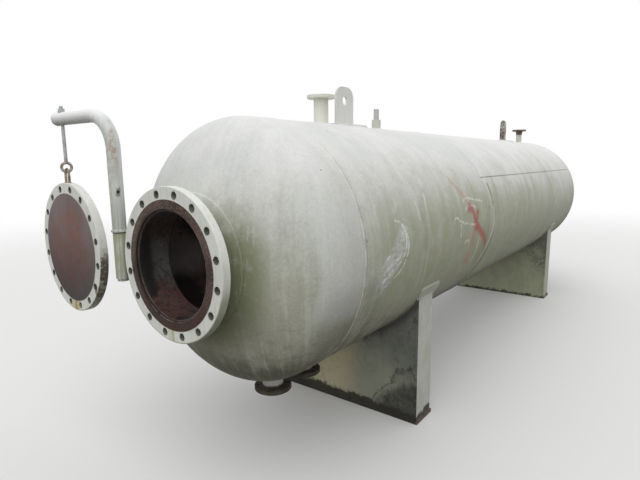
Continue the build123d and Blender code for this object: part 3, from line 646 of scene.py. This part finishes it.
def davit_finish():
    """Grey paint with a green edge, a rust patch on the bend and a chip by the handle hole."""
    f = Finish("davit_grey_paint")
    off_y = f.y - POST[1]
    around = f.maths("ARCTAN2", off_y, f.x - POST[0])
    cloud, runs, mottle, grain = f.noises((9, 3, 5), ((75, 75, 3), 6, 3), (55, 2, 4, 0.65), (400, 1, 2))
    f.colour = f.blend(cloud.ramp(0.4, 0.62) * 0.5, (0.735, 0.75, 0.745), (0.62, 0.64, 0.625))
    f.lay(runs.ramp(0.5, 0.66) * 0.4, (0.47, 0.49, 0.42))
    f.lay(f.z.ramp(1.4, 1.2) * (0.35 + 0.55 * runs.ramp(0.36, 0.56)), (0.42, 0.44, 0.385))
    sleeve = f.z.ramp(1.178, 1.174)
    f.lay(sleeve * (runs * 0.5 + cloud * 0.5).ramp(0.34, 0.56) * 0.85, (0.35, 0.372, 0.24))
    # Painted light: the top of the arm paler
    f.lay(f.z.ramp(1.66, 1.7) * 0.9, (0.88, 0.885, 0.875))
    left = f.maths("COSINE", around - math.radians(160)).ramp(0.55, 0.95)
    upright = f.z.ramp(1.66, 1.55)
    f.lay(left * upright * mottle.ramp(0.32, 0.58) * 0.55, (0.36, 0.38, 0.22))
    under = f.z.ramp(1.682, 1.662) * off_y.ramp(0.24, 0.4)
    f.lay(under * 0.8 * mottle.ramp(0.3, 0.5), (0.32, 0.34, 0.2))
    facing = f.maths("COSINE", around - math.radians(-122)).ramp(0.72, 0.97)
    f.lay(f.z.band(1.44, 1.6, 0.07) * facing * mottle.ramp(0.3, 0.52) * 0.45, (0.42, 0.41, 0.29))
    patch = f.z.band(1.5, 1.6, 0.05) * facing * (mottle * 0.7 + grain * 0.3).ramp(0.5, 0.58)
    f.lay(patch * 0.55, (0.43, 0.225, 0.15))
    f.lay(f.spots(30, 0.1, 0.16) * upright * 0.6, (0.2, 0.13, 0.09))
    girth = around * ARM_RADIUS
    chip = f.line(girth, f.z, [(-0.0585, 1.342), (-0.057, 1.352), (-0.0545, 1.363)], 0.014)
    scratch = f.line(girth, f.z, [(-0.0545, 1.361), (-0.0495, 1.376)], 0.005)
    f.lay(f.larger(chip, scratch * 0.6) * 0.85, (0.135, 0.138, 0.11))
    # Painted shadow in a dark band just under the collar
    f.lay(f.z.band(1.1715, 1.1765, 0.0015) * 0.85, (0.06, 0.06, 0.045))
    f.tone(0.92 + 0.16 * grain)
    f.rounded(0.001)
    f.bump(mottle, 0.0004)
    f.bump(grain, 0.00012)
    return f.close(0.45 + mottle.off * 0.25 + patch * 0.3, 0.4)


def saddle_finish():
    """The same paint, damp and dirty toward the foot."""
    f = Finish("saddle_damp_paint")
    cloud, wide, runs, mottle, grain = f.noises(
        (5, 2, 5, 0.6), (1.8, 6, 3), ((45, 45, 5), 4), (34, 1, 6, 0.72), (330, 5, 2))
    aside = f.size(f.y)
    outer = aside.ramp(SADDLE_HALF - 0.0015, SADDLE_HALF - 0.0005)
    web = 1 - outer
    near = f.x.ramp(1.8, 1.2)
    f.colour = f.blend(cloud.ramp(0.38, 0.62) * 0.6, (0.575, 0.58, 0.52), (0.455, 0.47, 0.385))
    f.lay(web * 0.88, f.blend(near, (0.43, 0.46, 0.3), (0.315, 0.325, 0.245)))
    f.lay(runs.ramp(0.46, 0.66) * 0.15 * web, (0.225, 0.24, 0.175))
    f.lay((mottle * 0.5 + cloud * 0.5).ramp(0.45, 0.58) * 0.45 * web, (0.27, 0.285, 0.235))
    warm = (f.size(f.y - 0.11) + mottle.off * 0.22 + wide.off * 0.2).ramp(0.3, 0.02) * near
    warm = warm * (f.z + cloud.off * 0.3 + mottle.off * 0.2).ramp(0.56, 0.24) * web
    f.lay(warm * (mottle * 0.7 + runs * 0.3).ramp(0.22, 0.5) * 0.84, (0.72, 0.65, 0.42))

    # Painted shade in the shelter of the shell, thicker toward the ends, with dark blotches in it and painted
    # shadow right under the seat
    shell_shade = f.z * 1.2 + aside * 0.9 + cloud.off * 0.6 + mottle.off * 0.4 - 0.3 * (1 - near)
    shade = f.blend((mottle * 0.6 + wide * 0.4).ramp(0.4, 0.6), (0.09, 0.096, 0.09), (0.185, 0.192, 0.178))
    f.lay(shell_shade.ramp(0.44, 0.92) * 0.8 * web, shade)
    # Painted shadow on the web right under the shell's seat
    under_shell = f.z - AXIS + f.root(0.372 - f.y * f.y)
    tucked_shade = (under_shell + mottle.off * 0.16 + cloud.off * 0.12).ramp(-0.085, -0.015) * near
    blotch_and_shade = f.larger((mottle * 0.6 + cloud * 0.4).ramp(0.51, 0.62) * shell_shade.ramp(0.46, 0.8), tucked_shade)
    f.lay(blotch_and_shade * 0.72 * web, (0.042, 0.043, 0.036))

    # Damp patch with an uneven dark tide line near each end
    damp_edge = 0.03 + 0.26 * aside.ramp(0.2, 0.42) + cloud.off * 0.42 + mottle.off * 0.12
    damp = (f.z - damp_edge).ramp(0.015, -0.13) * web * near
    rim = f.size(f.z - damp_edge - 0.006).ramp(0.022, 0.002) * mottle.ramp(0.34, 0.52) * web * near
    f.lay(damp * (0.76 + 0.2 * mottle.ramp(0.36, 0.62)), (0.034, 0.036, 0.03))
    f.lay(damp * runs.ramp(0.5, 0.66) * 0.22, (0.11, 0.115, 0.1))
    f.lay(rim * 0.66, (0.022, 0.022, 0.019))
    crust = mottle.off * 0.1 + cloud.off * 0.1 + 0.04 * (1 - near)
    mud = (f.z + crust).ramp(0.07, 0.044)
    f.lay(mud * 0.94, (0.029, 0.027, 0.022))
    f.lay((1 - near) * outer * 0.55, (0.36, 0.37, 0.26))
    foot = (f.z + mottle.off * 0.13 + cloud.off * 0.08).ramp(0.04, 0.008) * outer
    f.lay(foot * 0.8, (0.165, 0.105, 0.078))
    f.tone(0.74 + 0.2 * grain + 0.32 * mottle)
    f.rounded(0.0015)
    f.bump(mottle, 0.001)
    f.bump(mud * mottle, 0.004)
    return f.close(0.58 + mud * 0.25 - damp * 0.15, 0.35)


def neck_finish():
    """The manway neck: mossy paint outside, bare scale in the bore."""
    f = Finish("manway_neck_paint")
    rise = f.z - AXIS
    out = f.root(f.y * f.y + rise * rise)
    mottle, runs, grain = f.noises((28, 2, 5, 0.65), ((60, 60, 3), 4, 3), (350, 1, 2))
    low = (rise * 4 + mottle.off).ramp(0.75, -0.3)
    f.colour = f.blend(low * 0.9, (0.58, 0.6, 0.54), (0.19, 0.21, 0.12))
    f.lay(runs.ramp(0.48, 0.66) * 0.4, (0.36, 0.37, 0.27))

    # Scale in the bore, its grey given a painted light level that is darkest at the mouth: ruddy, red toward
    # the bottom, pitted, with a black stain near the flange
    bore = out.ramp(0.2283, 0.2278)
    deep = f.x - MANWAY_FACE
    arc = f.maths("ARCTAN2", f.y, rise) * NECK_RADIUS
    patch = f.noise(11, shift=6, detail=5, rough=0.7)
    # Painted light level in the bore: dark at the mouth, lighter deeper in
    scale = scale_colour(f, 0.028 + 0.16 * (deep + patch.off * 0.04).ramp(0.012, 0.12))
    ruddy = arc.ramp(0.37, 0.3) * arc.ramp(0.05, 0.16)
    scale = f.blend(ruddy * patch.ramp(0.36, 0.54) * 0.8, scale, (0.07, 0.044, 0.036))
    red = (arc + patch.off * 0.25).ramp(0.44, 0.54) * mottle.ramp(0.38, 0.56)
    scale = f.blend(red * 0.6, scale, (0.135, 0.06, 0.048))
    pits = f.larger(f.noise(70, shift=3, rough=0.7).ramp(0.54, 0.62), patch.ramp(0.56, 0.66))
    scale = f.blend(pits * 0.65, scale, (0.012, 0.01, 0.01))
    stain = [(0.02, 0.18), (0.026, 0.26), (0.044, 0.35), (0.046, 0.43), (0.04, 0.49), (0.024, 0.53)]
    black = f.line(deep + patch.off * 0.04, arc + mottle.off * 0.06, stain, 0.034)
    f.lay(bore, f.blend(black * 0.85, scale, (0.008, 0.0075, 0.007)))
    f.tone(0.9 + 0.2 * grain)
    f.bump(mottle, 0.0006)
    return f.close(0.62 + bore * 0.2, 0.3)


def keep(name, shape, material, body="vessel"):
    """Makes a finished bmesh a piece that rides on a body."""
    mesh = bpy.data.meshes.new(name)
    shape.to_mesh(mesh)
    shape.free()
    for face in mesh.polygons:
        face.use_smooth = True
    mesh.materials.append(material)
    piece = placed(name, mesh)
    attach(piece, body)


def turns_of(count):
    """Angles spread evenly round a circle."""
    return [math.tau * part / count for part in range(count)]


def outline(shape, profile):
    """A closed profile as corners and edges."""
    corners = [shape.verts.new(point) for point in profile]
    return corners, [shape.edges.new(pair) for pair in zip(corners, corners[1:] + corners[:1])]


def spun_bead(profile, steps, x):
    """A closed ring made by turning a closed profile about the vessel axis."""
    shape = bmesh.new()
    corners, edges = outline(shape, profile)
    bmesh.ops.spin(shape, geom=corners + edges, cent=(x, 0, AXIS), axis=(1, 0, 0), angle=math.tau,
                   steps=steps, use_merge=True)
    bmesh.ops.recalc_face_normals(shape, faces=shape.faces)
    return shape


def girth_seam(name, x, material):
    """The low crown of a girth weld over the shell, with the ripple of its passes."""
    half_profile = [(1.0, -0.002), (1.0, 0.0), (0.5, SEAM_CROWN * 0.8)]
    profile = [(x - SEAM_HALF * part, 0, TOP + rise) for part, rise in half_profile]
    profile.append((x, 0, TOP + SEAM_CROWN))
    profile += [(x + SEAM_HALF * part, 0, TOP + rise) for part, rise in reversed(half_profile)]
    shape = spun_bead(profile, 480, x)
    for vertex in shape.verts:
        turn = math.atan2(vertex.co.y, vertex.co.z - AXIS)
        out = math.hypot(vertex.co.y, vertex.co.z - AXIS)
        vertex.co.x += 0.0011 * math.sin(turn * 37.0) + 0.0008 * math.sin(turn * 91.0 + 1.0)
        if out > RADIUS + 0.0001:
            ripple = 1.0 + 0.16 * math.sin(turn * 160.0)
            scale = (RADIUS + (out - RADIUS) * ripple) / out
            vertex.co.y *= scale
            vertex.co.z = AXIS + (vertex.co.z - AXIS) * scale
    keep(name, shape, material)


def ring_weld(name, x, radius, leg, material):
    """A fillet ring about the vessel axis, rounded like a rod lying in the corner."""
    profile = [(x + leg * math.cos(turn), 0, AXIS + radius + leg * math.sin(turn)) for turn in turns_of(10)]
    shape = spun_bead(profile, 220, x)
    for vertex in shape.verts:
        turn = math.atan2(vertex.co.y, vertex.co.z - AXIS)
        vertex.co.x += leg * 0.1 * math.sin(turn * 120.0) + leg * 0.12 * math.sin(turn * 31.0)
    keep(name, shape, material)


def path_weld(name, points, leg, material, body="vessel", closed=True):
    """A rounded bead laid along a path of points, a little uneven in thickness."""
    curve = bpy.data.curves.new(name + "_path", "CURVE")
    curve.dimensions = "3D"
    curve.bevel_depth = leg
    curve.bevel_resolution = 2
    curve.use_fill_caps = not closed
    run = curve.splines.new("POLY")
    run.points.add(len(points) - 1)
    for number, (spot, point) in enumerate(zip(run.points, points)):
        spot.co = (*point, 1.0)
        spot.radius = 1.0 + 0.12 * math.sin(number * 1.9) + 0.08 * math.sin(number * 0.53)
    run.use_cyclic_u = closed
    holder = bpy.data.objects.new(name + "_path", curve)
    mesh = bpy.data.meshes.new_from_object(holder)
    shape = bmesh.new()
    shape.from_mesh(mesh)
    bmesh.ops.remove_doubles(shape, verts=shape.verts, dist=0.00001)
    bmesh.ops.recalc_face_normals(shape, faces=shape.faces)
    bpy.data.objects.remove(holder)
    bpy.data.curves.remove(curve)
    bpy.data.meshes.remove(mesh)
    keep(name, shape, material, body)


def straight_weld(name, start, end, leg, material):
    """A bead from start to end, with a point every 12 mm."""
    start, end = Vector(start), Vector(end)
    count = max(2, round((end - start).length / 0.012))
    points = [tuple(start.lerp(end, part / count)) for part in range(count + 1)]
    path_weld(name, points, leg, material, closed=False)


def on_shell(x, arc):
    """The point of the shell at x and at that arc length from the top line."""
    turn = arc / RADIUS
    return (x, RADIUS * math.sin(turn), AXIS + RADIUS * math.cos(turn))


def ring_points(centre, radius, count, first=(1, 0, 0), second=(0, 1, 0)):
    """Points of a circle, level unless its two directions say otherwise."""
    centre, first, second = Vector(centre), Vector(first), Vector(second)
    return [tuple(centre + radius * (math.cos(turn) * first + math.sin(turn) * second))
            for turn in turns_of(count)]


def rounded_loop(half_x, half_y, corner, step):
    """Points around a rectangle with rounded corners, step apart, in the local plane."""
    points = []
    for quarter, (side_x, side_y) in enumerate(((1, 1), (-1, 1), (-1, -1), (1, -1))):
        for part in range(7):
            turn = math.pi * (quarter / 2 + part / 12)
            points.append((side_x * (half_x - corner) + corner * math.cos(turn),
                           side_y * (half_y - corner) + corner * math.sin(turn)))
    loop = []
    for (x0, y0), (x1, y1) in zip(points, points[1:] + points[:1]):
        count = max(1, round(math.hypot(x1 - x0, y1 - y0) / step))
        for part in range(count):
            share = part / count
            loop.append((x0 + (x1 - x0) * share, y0 + (y1 - y0) * share))
    return loop


def barrel_weld(name, x, radius, side, leg, material):
    """The bead where an upright barrel meets the shell, on top (side 1) or below (side -1)."""
    points = []
    for turn in turns_of(72):
        y = radius * math.sin(turn)
        points.append((x + radius * math.cos(turn), y, AXIS + side * math.sqrt(RADIUS ** 2 - y ** 2)))
    path_weld(name, points, leg, material)


def seat_height(y):
    """The height of the saddle's seat at y."""
    return AXIS - math.sqrt(SEAT_RADIUS ** 2 - y ** 2)


def seat_arc(x):
    """Points along the saddle's seat at x, from end plate to end plate."""
    limit = math.asin(WEB_END / SEAT_RADIUS)
    count = round(2 * limit * SEAT_RADIUS / 0.015)
    turns = [-limit + 2 * limit * part / count for part in range(count + 1)]
    return [(x, SEAT_RADIUS * math.sin(turn), AXIS - SEAT_RADIUS * math.cos(turn)) for turn in turns]


def thread(name, centre, radius, start, end, pitch, material, body):
    """A screw thread: a small ridge carried round and up the rod."""
    shape = bmesh.new()
    x, y = centre
    inner = x + radius - 0.0005
    crest = x + radius + 0.00025
    corners, edges = outline(shape, [(inner, y, start), (crest, y, start + pitch * 0.3),
                                     (crest, y, start + pitch * 0.45), (inner, y, start + pitch * 0.75)])
    shape.faces.new(corners)
    turns = int((end - start - pitch) / pitch)
    made = bmesh.ops.spin(shape, geom=corners + edges, cent=(x, y, start), axis=(0, 0, 1),
                          dvec=(0, 0, pitch / 24), angle=math.tau * turns, steps=24 * turns)
    tail = [part for part in made["geom_last"] if isinstance(part, bmesh.types.BMVert)]
    bmesh.ops.contextual_create(shape, geom=tail)
    bmesh.ops.recalc_face_normals(shape, faces=shape.faces)
    keep(name, shape, material, body)


# Floor, sky and light
def studio():
    """A plain pale floor under an overcast sky, white beyond the object."""
    f = Finish("pale_floor")
    seen = f.seen()
    floor_colour = f.blend(seen, (0.115, 0.112, 0.105), (0.8, 0.8, 0.795))
    near = f.node("ShaderNodeBsdfDiffuse", {"Color": floor_colour})
    beyond = f.node("ShaderNodeEmission", {"Color": (1.0, 1.0, 1.0)})
    off_x = f.x - 1.3
    away = f.root(off_x * off_x + f.y * f.y).ramp(5.0, 13.0) * seen
    f.fade(away, near, beyond)
    shape = bmesh.new()
    bmesh.ops.create_grid(shape, x_segments=4, y_segments=4, size=60)
    mesh = bpy.data.meshes.new("floor")
    shape.to_mesh(mesh)
    shape.free()
    mesh.transform(Matrix.Translation((0, 0, -0.0006)))
    mesh.materials.append(f.owner)
    sheet = placed("floor", mesh)

    # Sky, brighter overhead, plain white where the camera looks at it
    f = Finish("overcast", sky=True)
    bright = f.larger(f.z, 0.0) * 0.56 + 0.44
    sky = f.node("ShaderNodeBackground", {"Color": bright, "Strength": 0.96})
    white = f.node("ShaderNodeBackground", {"Color": (1.0, 1.0, 1.0), "Strength": 1.0})
    f.fade(f.seen(), sky, white)
    bpy.context.scene.world = f.owner

    lamp = bpy.data.lights.new("soft_cloud_light", "SUN")
    lamp.energy = 1.1
    lamp.angle = math.radians(75.0)
    cloud = placed("soft_cloud_light", lamp)
    cloud.rotation_euler = Vector((-0.6, -0.38, 0.7)).to_track_quat("Z", "Y").to_euler()


# Finishes of the nodes; the saddles' paint is on every node that isn't named
head_paint = vessel_finish("head_weathered_paint", (0.63, 0.64, 0.61), head=True,
                           dots=((-0.908, -52, 0.007),))
front_paint = vessel_finish("front_course_weathered_paint", (0.625, 0.632, 0.59), marked=True,
                            dots=((0.364, -54.9, 0.008), (-0.585, -26.5, 0.007), (-0.765, -82, 0.008)))
rear_paint = vessel_finish("rear_course_weathered_paint", (0.72, 0.73, 0.72), dots=((3.574, -86.8, 0.018),))
neck_paint = neck_finish()
davit_paint = davit_finish()
saddle_paint = saddle_finish()
zinc = zinc_finish()
bracket_paint = fitting_finish("bracket_paint", (0.55, 0.56, 0.5), (0.36, 0.38, 0.28), 0.25)
rear_neck_paint = fitting_finish("rear_neck_paint", (0.66, 0.66, 0.6), (0.46, 0.45, 0.36), 0.3)
nipple_steel = fitting_finish("nipple_grey_steel", (0.54, 0.55, 0.54), (0.37, 0.375, 0.35), 0.2)
bail_rust = rusty_finish("bail_rust", (0.2, 0.14, 0.105), (0.58, 0.5, 0.38))
drain_rust = rusty_finish("drain_rust", (0.045, 0.037, 0.028), (0.092, 0.08, 0.056),
                          (0.345, 0.36, (0.56, 0.57, 0.49)))
pipe_end_rust = rusty_finish("pipe_end_rust", (0.045, 0.034, 0.028), (0.095, 0.072, 0.06))
coats = {
    "front_course": front_paint, "front_lug_pad": front_paint, "rear_course": rear_paint,
    "rear_lug_pad": rear_paint, "front_head": head_paint, "rear_head": head_paint, "manway_pad": head_paint,
    "manway_neck": neck_paint, "manway_flange": manway_flange_finish(), "manway_cover": cover_finish(),
    "cover_bail": bail_rust, "eyebolt": zinc, "eyebolt_washer": zinc, "eyebolt_nut": zinc,
    "davit_bracket": bracket_paint, "rear_top_neck": rear_neck_paint, "nipple": nipple_steel,
    "front_drain_nozzle": drain_rust, "rear_drain_nozzle": drain_rust,
    "rear_top_flange": rusty_finish("rear_flange_rust", (0.12, 0.085, 0.065), (0.24, 0.185, 0.14)),
    "front_top_nozzle": fitting_finish("top_nozzle_paint", (0.8, 0.8, 0.72), (0.64, 0.65, 0.54), 0.12),
    "half_coupling": fitting_finish("coupling_rust_paint", (0.63, 0.635, 0.58), (0.46, 0.47, 0.36), 0.22),
    "front_lifting_lug": fitting_finish("lug_paint", (0.8, 0.805, 0.78), (0.66, 0.67, 0.62), 0.1),
    "rear_lifting_lug": fitting_finish("rear_lug_paint", (0.5, 0.5, 0.45), (0.3, 0.28, 0.22), 0.75),
}
for part in ("sleeve", "arm", "end_cap", "collar", "shaft"):
    coats["davit_" + part] = davit_paint
for name, node in nodes.items():
    node.data.materials.clear()
    node.data.materials.append(coats.get(name, saddle_paint))

# Seams and welds of the vessel
for number, seam_x in enumerate(SEAMS):
    girth_seam("girth_weld_" + str(number + 1), seam_x, (front_paint, rear_paint, rear_paint)[number])
for end, start_x, seam_arc, count, paint in (
        ("rear", 0.772, -0.6475, 244, rear_paint), ("front", -0.768, 0.6475, 127, front_paint)):
    seam = [on_shell(start_x + part * 0.012, seam_arc) for part in range(count)]
    path_weld(end + "_course_long_weld", seam, 0.0016, paint, closed=False)

pad_depth = (HEAD_DEPTH + PLATE) * math.sqrt(1 - (NECK_RADIUS / SEAT_RADIUS) ** 2)
edge_depth = HEAD_DEPTH * math.sqrt(1 - (PAD_RADIUS / RADIUS) ** 2)
ring_weld("neck_to_pad_weld", FRONT_TANGENT - pad_depth - 0.002, NECK_RADIUS + 0.002, 0.007, head_paint)
ring_weld("pad_edge_weld", FRONT_TANGENT - edge_depth - 0.003, PAD_RADIUS + 0.001, 0.0055, head_paint)
ring_weld("flange_hub_weld", MANWAY_FACE + 0.068, NECK_RADIUS + 0.003, 0.007, neck_paint)
ring_weld("flange_bore_weld", MANWAY_FACE + 0.012, NECK_RADIUS - 0.003, 0.0045, pipe_end_rust)

barrel_weld("front_top_nozzle_weld", -0.267, 0.0395, 1, 0.006, front_paint)
barrel_weld("front_drain_weld", -0.703, 0.054, -1, 0.006, front_paint)
barrel_weld("rear_drain_weld", -0.457, 0.054, -1, 0.006, front_paint)
barrel_weld("rear_top_nozzle_weld", REAR_NECK_X, REAR_NECK_RADIUS, 1, 0.005, rear_paint)
barrel_weld("coupling_weld", COUPLING_X, 0.0285, 1, 0.0055, front_paint)
neck_ring = ring_points((REAR_NECK_X, 0, REAR_NECK_TOP), REAR_NECK_RADIUS, 40)
path_weld("rear_neck_butt_weld", neck_ring, 0.0022, rear_neck_paint)

for end, lug_x in LUGS.items():
    paint = front_paint if end == "front" else rear_paint
    loop = [on_shell(lug_x + px, py) for px, py in rounded_loop(0.1145, 0.0855, 0.006, 0.012)]
    path_weld(end + "_lug_pad_weld", loop, 0.0058, paint)
    loop = [(lug_x + px, py, TOP + PLATE) for px, py in rounded_loop(0.0875, 0.007, 0.003, 0.01)]
    path_weld(end + "_lug_foot_weld", loop, 0.0055, paint)

# Welds of the saddles
for end, saddle_x in SADDLES.items():
    loop = []
    for px, py in rounded_loop(0.1105, WEAR_HALF + 0.0015, 0.02, 0.014):
        x0, y0, z0 = on_shell(saddle_x + px, py)
        loop.append((x0, y0, 2 * AXIS - z0))
    path_weld(end + "_wear_plate_weld", loop, 0.0055, front_paint if end == "front" else rear_paint)
    near_x = saddle_x - SADDLE_REACH
    far_x = saddle_x + SADDLE_REACH
    web_x = near_x + WEB_SETBACK
    rib_x = web_x + 0.015
    for side, face_x in (("front", web_x), ("back", web_x + SADDLE_PLATE)):
        path_weld(end + "_web_seat_weld_" + side, seat_arc(face_x), 0.0055, saddle_paint, closed=False)
        foot_y = SADDLE_HALF - 0.013
        straight_weld(end + "_web_foot_weld_" + side, (face_x, -foot_y, BASE_TOP),
                      (face_x, foot_y, BASE_TOP), 0.005, saddle_paint)
    for hand, sign in (("right", -1), ("left", 1)):
        inner = sign * WEB_END
        outer = sign * SADDLE_HALF
        label = end + "_" + hand
        straight_weld(label + "_end_to_web_weld", (web_x, inner, 0.022), (web_x, inner, seat_height(inner)),
                      0.0045, saddle_paint)
        straight_weld(label + "_end_foot_weld", (near_x, outer, BASE_TOP), (far_x, outer, BASE_TOP),
                      0.0045, saddle_paint)
        straight_weld(label + "_end_seat_weld", (near_x, outer, seat_height(outer)),
                      (far_x, outer, seat_height(outer)), 0.005, saddle_paint)
    for side, rib_y in (("near", -SADDLE_PLATE / 2), ("far", SADDLE_PLATE / 2)):
        for place, level in (("foot", BASE_TOP), ("seat", AXIS - SEAT_RADIUS)):
            straight_weld(end + "_rib_" + place + "_weld_" + side, (rib_x, rib_y, level),
                          (far_x, rib_y, level), 0.0045, saddle_paint)

# Welds of the davit and the threads
straight_weld("bracket_to_sleeve_weld_front", (-1.2462, 0.3592, BRACKET_LOW),
              (-1.2462, 0.3592, BRACKET_HIGH), 0.0042, bracket_paint)
straight_weld("bracket_to_sleeve_weld_back", (-1.2322, 0.3606, BRACKET_LOW + 0.012),
              (-1.2322, 0.3606, BRACKET_HIGH - 0.012), 0.0042, bracket_paint)
hub_turns = [math.radians(-17.5 + part * 2.5) for part in range(15)]
hub_arc = [(-1.232, HUB_RADIUS * math.cos(turn), AXIS + HUB_RADIUS * math.sin(turn)) for turn in hub_turns]
path_weld("bracket_to_hub_weld", hub_arc, 0.0048, bracket_paint, closed=False)
for hand, sign in (("left", -1), ("right", 1)):
    rim_ring = []
    for turn in turns_of(24):
        out = 0.007 * math.cos(turn)
        across = sign * 0.019 + 0.007 * math.sin(turn)
        rim_ring.append((ROD[0] + out * math.cos(COVER_TURN) - across * math.sin(COVER_TURN),
                         ROD[1] + out * math.sin(COVER_TURN) + across * math.cos(COVER_TURN),
                         AXIS + math.sqrt(COVER_RADIUS ** 2 - across ** 2)))
    path_weld("bail_to_rim_weld_" + hand, rim_ring, 0.0032, bail_rust, "cover")
path_weld("collar_to_arm_weld", ring_points((*POST, 1.1843), ARM_RADIUS, 48), 0.0032, davit_paint, "davit")
arm_way = Vector((math.cos(ARM_TURN), math.sin(ARM_TURN), 0))
cap_centre = Vector((*POST, ARM_HEIGHT)) + arm_way * (ARM_REACH + ARM_PAST_ROD)
cap_ring = ring_points(cap_centre, 0.0298, 40, (-math.sin(ARM_TURN), math.cos(ARM_TURN), 0), (0, 0, 1))
path_weld("end_cap_weld", cap_ring, 0.002, davit_paint, "davit")
thread("eyebolt_thread", ROD, 0.00795, 1.7215, 1.7455, 0.0023, zinc, "cover")
thread("nipple_thread", (COUPLING_X, 0.0), 0.0163, TOP + 0.101, TOP + 0.1235, 0.0022, nipple_steel, "vessel")

place_camera()
studio()
bpy.context.scene.view_settings.view_transform = "Standard"
